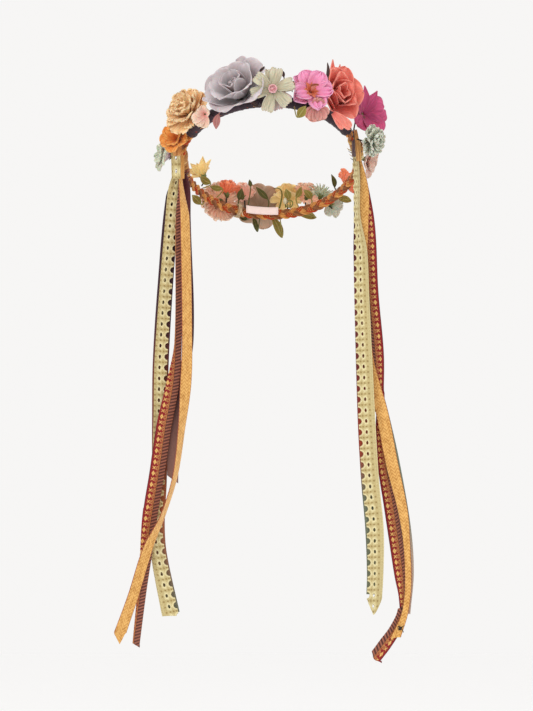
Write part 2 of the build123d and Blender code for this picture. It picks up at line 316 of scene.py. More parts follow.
def petal(sheets, place, spin, look, colours, rng):
    """One petal. It leaves the blossom's axis at `start` and climbs at `rise`.

    look holds lengths in millimetres and angles in degrees: length, width, start (out from the
    axis, height), rise (at the foot, at the tip), bend (how late the rise changes), foot (share of
    the width at the foot), belly (where it is widest), tip (1 pointed, 2 round, 4 blunt), arc (how
    far it wraps across), roll (how far the tip turns back), ruffle and waves, notch and notches,
    jitter (of the rise), vary (of the shade), rim (how much of the edge's colour), cols and rows.
    colours are those of its foot, its blade and its edge.
    """
    get = look.get
    length = look["length"] * rng.uniform(0.94, 1.06)
    half = look["width"] / 2 * rng.uniform(0.94, 1.06)
    out, height = look["start"]
    foot_rise, tip_rise = look["rise"]
    lift = rng.uniform(-1, 1) * get("jitter", 4)
    bend, roll = get("bend", 1.2), get("roll", 0)
    foot, belly, tip = get("foot", 0.3), get("belly", 0.62), get("tip", 2.0)
    arc = math.radians(get("arc", 30))
    ruffle, waves = get("ruffle", 0.0), get("waves", 3)
    notch, notches = get("notch", 0.0), get("notches", 1)
    twist = math.radians(rng.uniform(-1, 1) * 4)
    rows_count, columns = get("rows", 15), get("cols", 13)
    phase = rng.uniform(0, TAU)
    bumps = rng.uniform(0, 50)
    shade = rng.uniform(-1, 1) * get("vary", 0.05)
    inner, outer, edge = colours
    turn = Matrix.Rotation(spin, 4, "Z")
    rows = []
    x, z, last = out, height, 0.0
    for i in range(rows_count):
        s = i / (rows_count - 1)
        v = 1 - (1 - s) ** 1.5 if tip > 1.2 else s
        v = min(v, 0.995)
        rise = foot_rise + lift + (tip_rise - foot_rise) * v**bend
        rise -= roll * max(0.0, (v - 0.6) / 0.4) ** 2
        rise = math.radians(rise)
        step = (v - last) * length
        x += math.cos(rise) * step
        z += math.sin(rise) * step
        last = v
        if v < belly:
            wide = foot + (1 - foot) * math.sin(math.pi / 2 * v / belly) ** 1.1
        else:
            wide = max(0.02, (1 - ((v - belly) / (1 - belly)) ** tip)) ** (1 / tip)
        normal = Vector((-math.sin(rise), 0, math.cos(rise)))
        forward = Vector((math.cos(rise), 0, math.sin(rise)))
        row = []
        for j in range(columns):
            u = 2 * j / (columns - 1) - 1
            side = math.sin(u * arc) / arc * half * wide
            dip = (1 - math.cos(u * arc)) / arc * half * wide
            wave = ruffle * math.sin(waves * math.pi * u + phase + 2.0 * v) * v**1.6
            wave += ruffle * 0.5 * noise.noise(Vector((u * 3 + bumps, v * 4, bumps))) * v
            tooth = 0.0
            if notch:
                tooth = notch * (0.5 + 0.5 * math.cos(notches * math.pi * u)) * v**6
            point = Vector((x, 0, z)) + normal * (dip + wave) - forward * tooth
            point += Vector((0, side, 0))
            point += Vector((0, 1, 0)) * math.tan(twist) * (v * length) * 0.3
            rim = max(abs(u), v) ** 6
            colour = blend_of(inner, outer, v**0.8)
            colour = blend_of(colour, edge, rim * get("rim", 0.5))
            colour = tuple(max(0.0, c * (1 + shade)) for c in colour)
            row.append((place @ (turn @ (point * MM)), colour, (j / (columns - 1), v)))
        rows.append(row)
    sheets.grid(rows)


def whorl(sheets, place, count, look, colours, rng, first, spread=360.0):
    """Petals spread evenly round the axis from the angle first, each a little off its place."""
    for i in range(count):
        spin = math.radians(first + spread * i / count + rng.uniform(-1, 1) * look.get("shuffle", 5))
        petal(sheets, place, spin, look, colours, rng)


def ball(sheets, place, centre, size, colour, around=8, down=6):
    """A small closed bead; centre and size in millimetres in the blossom's frame."""
    rows = []
    for i in range(down + 1):
        polar = math.pi * (0.04 + 0.92 * i / down)
        row = []
        for j in range(around):
            turn = TAU * j / around
            ring = math.sin(polar)
            way = Vector((ring * math.cos(turn), ring * math.sin(turn), math.cos(polar)))
            point = Vector(centre) + Vector((way.x * size[0], way.y * size[1], way.z * size[2]))
            row.append((place @ (point * MM), colour, (j / around, i / down)))
        rows.append(row)
    first = len(sheets.points)
    sheets.grid(rows, closed=True)
    sheets.cap(first, around, flip=True)
    sheets.cap(first + down * around, around)


def tube(sheets, points, radius, colour, around=8, taper=None):
    """A round tube through points in metres, closed at both ends."""
    rows = []
    count = len(points)
    side = None
    for i, point in enumerate(points):
        ahead = points[min(i + 1, count - 1)] - points[max(i - 1, 0)]
        ahead.normalize()
        if side is None:
            side = ahead.orthogonal().normalized()
        side = (side - ahead * side.dot(ahead)).normalized()
        other = ahead.cross(side)
        size = radius * (taper(i / (count - 1)) if taper else 1.0)
        row = []
        for j in range(around):
            turn = TAU * j / around
            spot = point + (side * math.cos(turn) + other * math.sin(turn)) * size
            row.append((spot, colour, (j / around, i / count)))
        rows.append(row)
    first = len(sheets.points)
    sheets.grid(rows, closed=True)
    sheets.cap(first, around, flip=True)
    sheets.cap(first + (count - 1) * around, around)


def thicken(piece, thickness=0.0004):
    """Gives open cloth its thickness in metres, equally to both sides."""
    shell = piece.modifiers.new("thickness", "SOLIDIFY")
    shell.thickness = thickness
    shell.offset = 0


# ---- blossoms ----
# Colours of the foot, the blade and the edge.
GREY = (rgb(160, 150, 152), rgb(196, 186, 188), rgb(218, 208, 210))
GREIGE = (rgb(176, 168, 138), rgb(206, 200, 174), rgb(222, 214, 196))
PINK = (rgb(232, 120, 150), rgb(245, 160, 200), rgb(250, 190, 215))
CORAL = (rgb(226, 96, 84), rgb(244, 132, 116), rgb(252, 172, 152))
MAGENTA = (rgb(160, 48, 92), rgb(205, 84, 128), rgb(222, 120, 155))
SAGE = (rgb(170, 174, 148), rgb(204, 206, 186), rgb(224, 226, 210))
DUSTY = (rgb(196, 150, 136), rgb(226, 190, 172), rgb(238, 212, 196))
APRICOT = (rgb(242, 182, 118), rgb(250, 208, 154), rgb(253, 224, 180))
ORANGE = (rgb(196, 84, 30), rgb(242, 158, 76), rgb(248, 190, 110))
MINT = (rgb(150, 160, 118), rgb(205, 214, 182), rgb(226, 230, 208))
CREAM = (rgb(226, 140, 132), rgb(244, 214, 190), rgb(250, 236, 212))
ROSE_DUST = (rgb(196, 116, 112), rgb(222, 156, 146), rgb(232, 178, 164))
PALE_YELLOW = (rgb(248, 196, 104), rgb(254, 220, 150), rgb(255, 232, 176))
CORAL_ORANGE = (rgb(240, 104, 66), rgb(255, 138, 96), rgb(255, 168, 130))
PALE_PINK = (rgb(246, 150, 124), rgb(255, 194, 170), rgb(255, 214, 194))
PEACH = (rgb(250, 164, 124), rgb(255, 204, 174), rgb(255, 222, 196))
TAUPE = (rgb(134, 104, 82), rgb(180, 148, 122), rgb(204, 176, 150))

# The same placing as in the CAD, name: (angle, out, up, radius, depth, yaw, pitch), in degrees
# and millimetres.
FRONT = {
    "mint_blossom": (-86, 25, -1, 10, 12, -75, 10),
    "orange_blossom": (-72, 15, 4, 12, 9, -35, 25),
    "apricot_carnation": (-59, 15, 16, 20, 11, -45, 30),
    "cream_pink_blossom": (-48, 19, -9, 8, 6, -30, 0),
    "grey_rose": (-22, 22, 9, 27, 15, -18, 30),
    "cosmos": (1.5, 25, -5, 20, 6, 0, 12),
    "pink_azalea": (26, 20, 10, 19, 10, 22, 25),
    "rose_petal_blossom": (30, 15, -16, 10, 6, 20, -10),
    "coral_rose": (53, 14, 30, 23, 24, 40, 20),
    "magenta_blossom": (71, 20, 28, 18, 13, 62, 15),
    "sage_carnation": (70, 26, -11, 12, 10, 60, 0),
    "dusty_pink_blossom": (100, 16, 9, 10, 9, 70, -10),
}
BACK = {
    "pale_yellow_blossom": (-122, 0, 27, 12, 11, -140, 45),
    "coral_orange_blossom": (-146, 4, 26, 10, 10, -160, 50),
    "pale_pink_blossom": (-162, 6, 31, 9, 9, -175, 50),
    "peach_frill_blossom": (-142, 24, 6, 19, 12, -150, -10),
    "taupe_rose": (-175, 26, 21, 17, 12, 180, 20),
    "primrose_blossom": (167, 8, 27, 12, 10, 168, 45),
    "peach_pink_blossom": (153, 10, 27, 11, 10, 150, 45),
    "mint_spike_blossom": (141, 6, 23, 8, 9, 145, 55),
    "sage_petal_blossom": (136, 21, 2, 9, 7, 135, -5),
    "back_coral_blossom": (122, 12, 15, 13, 8, 110, 35),
}
# How far the petals sit from the CAD head's own place, in millimetres.
NUDGES = {
    "grey_rose": (7.5, 0, -3), "cosmos": (0, 0, 2), "pink_azalea": (-0.5, 0, -1),
    "rose_petal_blossom": (1, 5, 6), "coral_rose": (-1.5, 0, 0.5), "magenta_blossom": (3, 0, 1),
    "sage_carnation": (3, 0, 0), "dusty_pink_blossom": (1.5, -4, 2.5), "orange_blossom": (0, 0, -2.5),
    "cream_pink_blossom": (6.5, 0, 3), "taupe_rose": (-1.5, 0, 6.5), "primrose_blossom": (-2, 0, 2.5),
    "peach_frill_blossom": (8, 0, 8), "mint_blossom": (2, 0, 0), "pale_pink_blossom": (-2, 0, 1),
    "peach_pink_blossom": (0, 0, 3), "sage_petal_blossom": (-4, 0, 4), "coral_orange_blossom": (1, 0, 1),
}


def blossom_seat(name, yaw=0.0, pitch=0.0):
    """The blossom's frame, with its origin at the foot of the petals."""
    angle, out, up, _, depth, own_yaw, own_pitch = {**FRONT, **BACK}[name]
    look = facing(own_yaw, own_pitch)
    origin = on_band(math.radians(angle), out * MM, up * MM) - look * depth * MM
    place = seat(origin, facing(own_yaw + yaw, own_pitch + pitch))
    return Matrix.Translation(Vector(NUDGES.get(name, (0, 0, 0))) * MM) @ place


def finish_blossom(name, sheets, material):
    piece = new_object(name + "_petals", sheets.mesh(name + "_petals"), material, "crown", [name])
    thicken(piece)


def grey_rose():
    """Four whorls that close in from rolled outer petals to an upright heart."""
    rng = random.Random(11)
    sheets = Sheets()
    place = blossom_seat("grey_rose", yaw=-20, pitch=10)
    outer = {"length": 36, "width": 44, "start": (2, 0), "rise": (8, 58), "bend": 0.8, "foot": 0.35,
             "belly": 0.66, "tip": 2.4, "arc": 36, "roll": 82, "ruffle": 1.2, "waves": 1.6, "jitter": 5,
             "rim": 0.7, "rows": 19, "cols": 19}
    middle = {**outer, "length": 33, "width": 38, "start": (1.5, 1), "rise": (30, 78), "arc": 46,
              "roll": 70, "ruffle": 1.0}
    inner = {**outer, "length": 28, "width": 30, "start": (1, 2), "rise": (52, 92), "arc": 58, "roll": 48,
             "ruffle": 0.7}
    heart = {**outer, "length": 22, "width": 18, "start": (0.5, 2), "rise": (72, 100), "bend": 1.0,
             "foot": 0.5, "belly": 0.6, "arc": 78, "roll": 24, "ruffle": 0.4}
    whorl(sheets, place, 5, outer, GREY, rng, first=52)
    whorl(sheets, place, 4, middle, GREY, rng, first=85)
    whorl(sheets, place, 4, inner, GREY, rng, first=30)
    whorl(sheets, place, 3, heart, GREY, rng, first=70)
    finish_blossom("grey_rose", sheets, petal_material("grey_petals", 0.82, vein=0.22))


def cosmos():
    """Toothed rays over mauve and greige ones, with beads and curled threads in the middle."""
    rng = random.Random(12)
    sheets = Sheets()
    place = blossom_seat("cosmos")
    ray = {"length": 20.5, "width": 13, "start": (2, 4), "rise": (16, -2), "foot": 0.34, "belly": 0.70,
           "tip": 4.5, "arc": 30, "roll": 14, "ruffle": 0.6, "waves": 2, "notch": 1.4, "notches": 3,
           "jitter": 7, "rim": 0.3, "shuffle": 7}
    under = {**ray, "length": 19, "width": 10.5, "start": (2, 2), "rise": (4, -14)}
    mauve = (GREIGE[0], blend_of(GREIGE[1], rgb(206, 176, 190), 0.5), rgb(204, 164, 184))
    whorl(sheets, place, 6, ray, GREIGE, rng, first=80)
    whorl(sheets, place, 3, under, mauve, rng, first=246, spread=130)
    whorl(sheets, place, 2, under, GREIGE, rng, first=20, spread=160)
    finish_blossom("cosmos", sheets, petal_material("greige_petals", 0.82, vein=0.9, veins=12))
    beads = Sheets()
    centre = blossom_seat("cosmos")
    for i in range(34):
        ring = math.sqrt(i / 34)
        turn = i * GOLDEN_ANGLE
        spot = (3.9 * ring * math.cos(turn), 3.9 * ring * math.sin(turn), 8.6 - 1.5 * ring)
        tone = blend_of(rgb(226, 150, 160), rgb(246, 205, 200), rng.random())
        ball(beads, centre, spot, (0.85, 0.85, 1.2), tone)
    for i in range(14):
        turn = i * GOLDEN_ANGLE
        points = []
        for k in range(8):
            curl = turn + 0.5 * k
            reach = 2.6 + 1.7 * math.sin(k / 7 * 2.6)
            spot = Vector((reach * math.cos(curl), reach * math.sin(curl), 8.4 + 0.35 * k))
            points.append(centre @ (spot * MM))
        tube(beads, points, 0.00028, rgb(238, 180, 184), around=6)
    new_object("cosmos_beads", beads.mesh("cosmos_beads"), petal_material("bead_threads", 0.7, vein=0.1),
               "crown", ["cosmos_centre"])


def pink_azalea():
    """Ruffled lobes round an orange throat, from which tipped filaments reach out."""
    rng = random.Random(13)
    sheets = Sheets()
    place = blossom_seat("pink_azalea")
    cup = {"length": 23, "width": 21, "start": (1, 0), "rise": (56, 2), "bend": 0.9, "foot": 0.34,
           "belly": 0.70, "tip": 2.4, "arc": 34, "roll": 14, "ruffle": 2.2, "waves": 3.8, "jitter": 8,
           "cols": 25, "rows": 21}
    back = {**cup, "length": 23, "width": 19, "start": (1, -2), "rise": (40, -2), "tip": 1.2,
            "ruffle": 1.2, "roll": 0}
    whorl(sheets, place, 3, cup, PINK, rng, first=200, spread=240)
    whorl(sheets, place, 2, {**cup, "tip": 1.6, "ruffle": 1.3, "roll": 10}, PINK, rng, first=52, spread=120)
    whorl(sheets, place, 5, back, PINK, rng, first=138)
    finish_blossom("pink_azalea", sheets, petal_material("azalea_petals", 0.75, vein=0.4))
    throat = Sheets()
    glow = (rgb(196, 78, 40), rgb(226, 128, 84), rgb(240, 150, 150))
    tongue = {"length": 12, "width": 6.5, "start": (0.8, 1.2), "rise": (60, 14), "bend": 0.9, "foot": 0.5,
              "belly": 0.5, "tip": 1.0, "arc": 30, "ruffle": 0.3, "rows": 10, "cols": 7}
    whorl(throat, place, 7, tongue, glow, rng, first=75)
    for i in range(7):
        turn = math.radians(60 + 14 * i)
        lean = Vector((math.cos(turn) * 5.5, math.sin(turn) * 3.5 - 2, 0))
        spots = [lean * (k / 7) ** 1.4 + Vector((0, 0, 1 + 16 * k / 7)) for k in range(8)]
        tube(throat, [place @ (spot * MM) for spot in spots], 0.0003, rgb(236, 150, 130), around=6)
        ball(throat, place, spots[-1], (0.8, 0.8, 1.1), rgb(150, 70, 40))
    piece = new_object("azalea_throat_petals", throat.mesh("azalea_throat_petals"),
                       petal_material("throat_cloth", 0.8, vein=0.6), "crown",
                       ["azalea_throat"])
    thicken(piece, 0.0003)


def coral_rose():
    """Cupped whorls, two upright spikes and two salmon petals that hang below."""
    rng = random.Random(14)
    sheets = Sheets()
    place = blossom_seat("coral_rose", yaw=-10, pitch=0) @ Matrix.Diagonal((0.90, 1.14, 1.0, 1.0))
    outer = {"length": 33, "width": 34, "start": (2, 0), "rise": (26, 70), "bend": 0.7, "foot": 0.4,
             "belly": 0.6, "tip": 1.7, "arc": 40, "roll": 62, "ruffle": 1.3, "waves": 2, "jitter": 7,
             "rows": 19, "cols": 17}
    middle = {**outer, "length": 31, "width": 27, "start": (1.5, 2), "rise": (48, 82), "arc": 56,
              "roll": 50, "ruffle": 1.0}
    inner = {**outer, "length": 28, "width": 17, "start": (1, 3), "rise": (64, 94), "bend": 0.9,
             "arc": 72, "roll": 30, "ruffle": 0.8}
    spike = {**outer, "length": 33, "width": 16, "rise": (30, 18), "tip": 1.0, "belly": 0.45, "arc": 24,
             "roll": 0, "ruffle": 0.8, "jitter": 2}
    whorl(sheets, place, 6, outer, CORAL, rng, first=120)
    whorl(sheets, place, 2, spike, CORAL, rng, first=64, spread=44)
    whorl(sheets, place, 5, middle, CORAL, rng, first=30)
    whorl(sheets, place, 4, inner, CORAL, rng, first=60)
    salmon = (rgb(230, 104, 92), rgb(246, 148, 132), rgb(250, 176, 156))
    low = seat(on_band(math.radians(44), 0.011, -0.004), facing(30, 5))
    hanging = {"length": 25, "width": 11, "start": (0, 0), "rise": (20, -6), "foot": 0.5, "belly": 0.6,
               "tip": 3.0, "arc": 26, "ruffle": 0.8, "waves": 2, "jitter": 2, "notch": 1.0, "notches": 2}
    petal(sheets, low, math.radians(-40), hanging, salmon, rng)
    petal(sheets, low, math.radians(-58), {**hanging, "length": 20}, salmon, rng)
    finish_blossom("coral_rose", sheets, petal_material("coral_petals", 0.75, vein=0.3))


def magenta_blossom():
    """Broad petals below and pointed ones above."""
    rng = random.Random(15)
    sheets = Sheets()
    place = blossom_seat("magenta_blossom", yaw=-18)
    big = {"length": 24, "width": 28, "start": (1, 0), "rise": (34, 12), "foot": 0.3, "belly": 0.6,
           "tip": 2.3, "arc": 32, "roll": 30, "ruffle": 0.8, "waves": 2, "rim": 0.25}
    point = {**big, "length": 28, "width": 16, "rise": (34, 26), "tip": 1.05, "belly": 0.5, "arc": 24,
             "roll": 0, "jitter": 3}
    whorl(sheets, place, 3, big, MAGENTA, rng, first=210, spread=230)
    whorl(sheets, place, 3, point, MAGENTA, rng, first=58, spread=130)
    finish_blossom("magenta_blossom", sheets,
                   petal_material("magenta_petals", 0.8, vein=0.9, veins=16))


def carnation(name, palette, seed, rings, material):
    """A ruffled head: rings of fan petals, each (count, length, width, rise, ruffle)."""
    rng = random.Random(seed)
    sheets = Sheets()
    place = blossom_seat(name)
    for number, (count, length, width, rise, ruffle) in enumerate(rings):
        fan = {"length": length, "width": width, "start": (0.8, number * 0.8), "rise": rise, "bend": 0.9,
               "foot": 0.22, "belly": 0.85, "tip": 3.0, "arc": 30, "ruffle": ruffle, "waves": 3.5,
               "notch": 1.6, "notches": 5, "jitter": 8, "shuffle": 12, "cols": 17, "rows": 13,
               "vary": 0.09}
        whorl(sheets, place, count, fan, palette, rng, first=number * 37)
    finish_blossom(name, sheets, material)


def simple_blossom(name, palette, seed, whorls, material):
    """A head of whorls, each (count, first angle, spread, petal)."""
    rng = random.Random(seed)
    sheets = Sheets()
    place = blossom_seat(name)
    for count, first, spread, look in whorls:
        whorl(sheets, place, count, look, palette, rng, first, spread)
    finish_blossom(name, sheets, material)


ROUND = {"length": 13, "width": 12, "start": (1, 0), "rise": (40, 12), "foot": 0.3, "belly": 0.62,
         "tip": 2.2, "arc": 34, "roll": 18, "ruffle": 0.7, "waves": 2.5}
POINTED = {**ROUND, "tip": 1.05, "belly": 0.5, "arc": 26, "roll": 0, "ruffle": 0.5}


def small_front_blossoms():
    apricot = petal_material("apricot_petals", 0.85, vein=0.2, crinkle=0.2)
    carnation("apricot_carnation", APRICOT, 21,
              [(9, 26, 20, (14, 16), 1.5), (8, 24, 18, (34, 40), 1.4), (6, 21, 15, (54, 60), 1.4),
               (4, 18, 12, (72, 82), 1.2)], apricot)
    simple_blossom("orange_blossom", ORANGE, 22,
                   [(5, 60, 360, {**ROUND, "length": 18, "width": 17, "ruffle": 1.2}),
                    (5, 20, 360, {**ROUND, "length": 14, "width": 13, "rise": (60, 40), "ruffle": 1.2})],
                   petal_material("orange_petals", 0.8, vein=0.5))
    lilac_mint = (rgb(198, 140, 186), MINT[1], MINT[2])
    simple_blossom("mint_blossom", lilac_mint, 23,
                   [(8, 10, 360, {**ROUND, "length": 20, "width": 12, "rise": (50, 22), "tip": 1.5,
                                  "ruffle": 1.5, "waves": 3}),
                    (7, 40, 360, {**ROUND, "length": 16, "width": 10, "rise": (68, 50), "ruffle": 1.2})],
                   petal_material("mint_petals", 0.82, vein=0.4))
    simple_blossom("cream_pink_blossom", CREAM, 24,
                   [(3, 205, 120, {**ROUND, "length": 13, "width": 12, "rise": (30, 8), "arc": 30}),
                    (3, 20, 200, {**ROUND, "length": 9, "width": 9.5, "rise": (44, 30)})],
                   petal_material("cream_petals", 0.8, vein=0.4))
    simple_blossom("rose_petal_blossom", ROSE_DUST, 25,
                   [(4, 232, 100, {**ROUND, "length": 14, "width": 17, "rise": (20, 2), "tip": 2.6}),
                    (2, 60, 90, {**ROUND, "length": 9, "width": 10, "rise": (30, 20)})],
                   petal_material("dusty_rose_petals", 0.8, vein=0.6))
    carnation("sage_carnation", SAGE, 26,
              [(10, 16, 12, (8, 0), 1.3), (9, 15, 11, (30, 22), 1.3), (8, 12.5, 9, (54, 50), 1.2),
               (6, 10.5, 7, (74, 78), 1.0)],
              petal_material("sage_petals", 0.88, vein=0.3, crinkle=0.4))
    simple_blossom("dusty_pink_blossom", DUSTY, 27,
                   [(5, 260, 360, {**ROUND, "length": 18, "width": 17, "rise": (34, 6), "ruffle": 0.9}),
                    (4, 230, 360, {**ROUND, "length": 13, "width": 13, "rise": (60, 40)})],
                   petal_material("dusty_pink_petals", 0.8, vein=0.4))


def back_blossoms():
    yellow = petal_material("yellow_petals", 0.8, vein=0.4)
    simple_blossom("pale_yellow_blossom", PALE_YELLOW, 31,
                   [(7, 30, 360, {**POINTED, "length": 20, "width": 10, "rise": (52, 30)}),
                    (5, 50, 360, {**POINTED, "length": 15, "width": 8, "rise": (68, 60)})], yellow)
    simple_blossom("primrose_blossom", PALE_YELLOW, 32,
                   [(6, 30, 360, {**ROUND, "length": 17, "width": 14, "rise": (56, 30)}),
                    (6, 0, 360, {**ROUND, "length": 15, "width": 12, "rise": (10, -20)})], yellow)
    carnation("coral_orange_blossom", CORAL_ORANGE, 33,
              [(7, 15, 12, (24, 16), 1.4), (6, 14, 11, (54, 50), 1.5)],
              petal_material("coral_orange_petals", 0.8, vein=0.3))
    carnation("pale_pink_blossom", PALE_PINK, 34,
              [(7, 14, 12, (24, 20), 1.3), (6, 13, 10, (56, 54), 1.4)],
              petal_material("pale_pink_petals", 0.8, vein=0.3))
    carnation("peach_frill_blossom", PEACH, 35,
              [(13, 20, 13, (8, -6), 2.0), (11, 18, 12, (30, 22), 2.0), (9, 14, 10, (56, 52), 1.6)],
              petal_material("peach_petals", 0.85, vein=0.3, crinkle=0.35))
    simple_blossom("taupe_rose", TAUPE, 36,
                   [(6, 20, 360, {**ROUND, "length": 25, "width": 26, "rise": (14, 46), "roll": 50}),
                    (5, 50, 360, {**ROUND, "length": 19, "width": 20, "rise": (44, 84), "roll": 30}),
                    (4, 10, 360, {**ROUND, "length": 16, "width": 14, "rise": (66, 98), "arc": 60})],
                   petal_material("taupe_petals", 0.8, vein=0.5))
    carnation("peach_pink_blossom", PEACH, 37,
              [(8, 16, 13, (20, 14), 1.4), (7, 14, 11, (50, 48), 1.5)],
              petal_material("peach_pink_petals", 0.8, vein=0.3))
    simple_blossom("mint_spike_blossom", MINT, 38,
                   [(14, 0, 360, {**POINTED, "length": 14, "width": 2.6, "rise": (20, 10), "cols": 5}),
                    (12, 10, 360, {**POINTED, "length": 13, "width": 2.4, "rise": (48, 40), "cols": 5}),
                    (8, 20, 360, {**POINTED, "length": 12, "width": 2.2, "rise": (72, 70), "cols": 5})],
                   petal_material("spike_petals", 0.8, vein=0.2))
    simple_blossom("sage_petal_blossom", SAGE, 39,
                   [(5, 30, 360, {**ROUND, "length": 13, "width": 13, "rise": (30, 6)})],
                   petal_material("sage_back_petals", 0.8, vein=0.4))
    simple_blossom("back_coral_blossom", CORAL_ORANGE, 40,
                   [(6, 30, 360, {**ROUND, "length": 18, "width": 16, "rise": (26, 20), "ruffle": 1.2}),
                    (5, 0, 360, {**ROUND, "length": 15, "width": 13, "rise": (54, 54)})],
                   petal_material("back_coral_petals", 0.8, vein=0.3))


# ---- leaves, buds, calyxes and the tendril ----
# The same placing as in the CAD: (centre, length, width, yaw, tilt), in millimetres and degrees.
FRONT_LEAVES = [
    ((-53, -92, 39), 15, 8, -20, 170), ((32, -106, 49), 14, 9, 10, -35), ((58, -60, 88), 18, 4, 30, -5),
    ((-16, -103, 57), 10, 4, -10, 60), ((-8, -88, 90), 9, 4, -10, -30), ((12, -86, 87), 9, 4, 10, 30),
]
OLIVE_LEAVES = [
    ((-65, 45, -23), 13, 8, -20, 60), ((-54, 62, -31), 13, 6, -15, 80), ((-74, 58, -43), 13, 8, -15, 45),
    ((18, 80, -38), 11, 7, 5, 20), ((29, 77, -36), 12, 6, 10, -25), ((38, 72, -38), 12, 7, 10, 40),
    ((7, 90, -71), 25, 8.5, 0, 25), ((37, 88, -60), 20, 8, 10, 78), ((74, 63, -42), 19, 7, 25, 75),
]
GREEN_LEAVES = [
    ((-30, 78, -38), 12, 7, -10, -15), ((-20, 84, -27), 7, 4, -5, 10), ((-8, 79, -37), 17, 6, 0, 45),
    ((-15, 91, -68), 17, 5, 0, 15), ((-27, 89, -62), 9, 6, -10, 70), ((64, 48, -24), 14, 5, 20, 15),
]
LANDING = 0.0050    # from the middle of the braid to where a stalk meets it, in metres
OLIVE = (rgb(104, 94, 30), rgb(150, 136, 62), rgb(184, 170, 104))
DARK_GREEN = (rgb(52, 54, 20), rgb(86, 86, 34), rgb(120, 118, 62))
DARK_BROWN = (rgb(40, 28, 26), rgb(66, 48, 44), rgb(96, 74, 66))
DRY_ROSE = (rgb(140, 84, 82), rgb(186, 124, 118), rgb(206, 150, 140))
FRONT_LEAF_TONES = {0: DRY_ROSE, 1: OLIVE}


def nearest_band(point):
    """The place on the braid's surface that is nearest to a point."""
    centres = [on_band(math.radians(k)) for k in range(360)]
    nearest = min(centres, key=lambda centre: (point - centre).length)
    return nearest + (point - nearest).normalized() * LANDING


def leaf(sheets, centre, length, width, yaw, tilt, colours, rng):
    """A folded, cupped leaf with a raised midrib and sunk side veins; tilt 0 points straight up."""
    look = facing(yaw, 0)
    place = seat(Vector(centre) * MM, look) @ Matrix.Rotation(math.radians(tilt), 4, "Z")
    curl = rng.uniform(0.08, 0.16) * length
    sway = rng.uniform(-0.06, 0.06) * length
    phase = rng.uniform(0, TAU)
    rows = []
    steps, columns = 25, 17
    for i in range(steps):
        v = i / (steps - 1)
        wide = width / 2 * (0.06 + 0.94 * math.sin(math.pi * min(0.985, v) ** 0.85) ** 0.9)
        row = []
        for j in range(columns):
            u = 2 * j / (columns - 1) - 1
            fold = 0.30 * abs(u) * wide
            veins = 0.16 * math.sin(TAU * (v * 5.5 - abs(u) * 1.1))
            veins = veins * min(1, 3 * abs(u)) * (1 - abs(u) ** 4)
            wave = 0.05 * width * math.sin(7 * v + phase + 2 * u) * abs(u)
            rib = 0.32 * math.exp(-(u / 0.12) ** 2)
            x = u * wide + sway * math.sin(math.pi * v)
            y = (v - 0.5) * length
            z = fold + veins + wave + rib - curl * (2 * v - 1) ** 2
            tone = blend_of(colours[0], colours[1], 0.35 + 0.65 * abs(u))
            tone = blend_of(tone, colours[2], 0.8 * math.exp(-(u / 0.10) ** 2) + 0.25 * v**4)
            row.append((place @ (Vector((x, y, z)) * MM), tone, (j / (columns - 1), v)))
        rows.append(row)
    sheets.grid(rows)
    foot = place @ (Vector((0, -length / 2 + 1, -curl)) * MM)
    ahead = place @ (Vector((0, -length / 2 - 3, -curl)) * MM)
    landing = nearest_band(foot)
    stalk = []
    for k in range(13):
        s = k / 12
        stalk.append(foot * (1 - s) ** 2 + ahead * 2 * s * (1 - s) + landing * s * s)
    tube(sheets, stalk, 0.00038, colours[1], around=8)


def make_leaves():
    """Three groups of leaves. Two of the front ones have a colour of their own."""
    rng = random.Random(51)
    material = petal_material("leaf_cloth", 0.62, vein=0.5, veins=10, crinkle=0.35)
    for name, leaves, colours, slot in (
            ("front_leaves", FRONT_LEAVES, DARK_BROWN, "dark_leaf"),
            ("back_olive_leaves", OLIVE_LEAVES, OLIVE, "olive_leaf"),
            ("back_green_leaves", GREEN_LEAVES, DARK_GREEN, "green_leaf")):
        sheets = Sheets()
        for index, values in enumerate(leaves):
            tones = FRONT_LEAF_TONES.get(index, colours) if name == "front_leaves" else colours
            leaf(sheets, *values, tones, rng)
        mesh = sheets.mesh(name + "_blades")
        thicken(new_object(name + "_blades", mesh, material, "crown", [name]))


def bud(sheets, angle, out, up, radius, length, yaw, pitch, colours, rng):
    """A closed bud: overlapping petals wrapped in a spiral, on a short stalk."""
    look = facing(yaw, pitch)
    origin = on_band(math.radians(angle), out * MM, up * MM) - look * length / 2 * MM
    place = seat(origin, look)
    wrapped = {"length": length * 1.08, "width": radius * 2.6, "start": (0.4, 0), "rise": (38, 118),
               "bend": 0.8, "foot": 0.5, "belly": 0.45, "tip": 1.4, "arc": 66, "ruffle": 0.12,
               "rows": 13, "cols": 11, "jitter": 2, "vary": 0.03}
    whorl(sheets, place, 5, wrapped, colours, rng, first=rng.uniform(0, 90))
    ball(sheets, place, (0, 0, length * 0.45), (radius * 0.72, radius * 0.72, length * 0.44), colours[0],
         around=14, down=10)
    stalk = [place @ (Vector((0, 0, -k * 0.9)) * MM) for k in range(-1, 5)]
    tube(sheets, stalk, 0.0005, DARK_GREEN[1], around=8)


def make_buds():
    rng = random.Random(52)
    material = petal_material("bud_cloth", 0.75, vein=0.3, crinkle=0.25)
    cream = (rgb(214, 196, 150), rgb(244, 232, 204), rgb(250, 242, 222))
    for name, buds in (
            ("cream_bud", [(15, 8, 16, 4.5, 11, 5, 45)]),
            ("cream_seed_buds", [(84, 14, 8, 3, 7, 40, 20), (88, 14, 2, 3, 7, 50, 0)]),
            ("white_buds", [(168, -5, 12, 2.5, 7, 180, 60), (146, -2, 16, 2.5, 6, 150, 60)])):
        sheets = Sheets()
        for values in buds:
            bud(sheets, *values, cream, rng)
        new_object(name + "_petals", sheets.mesh(name + "_petals"), material, "crown", [name])


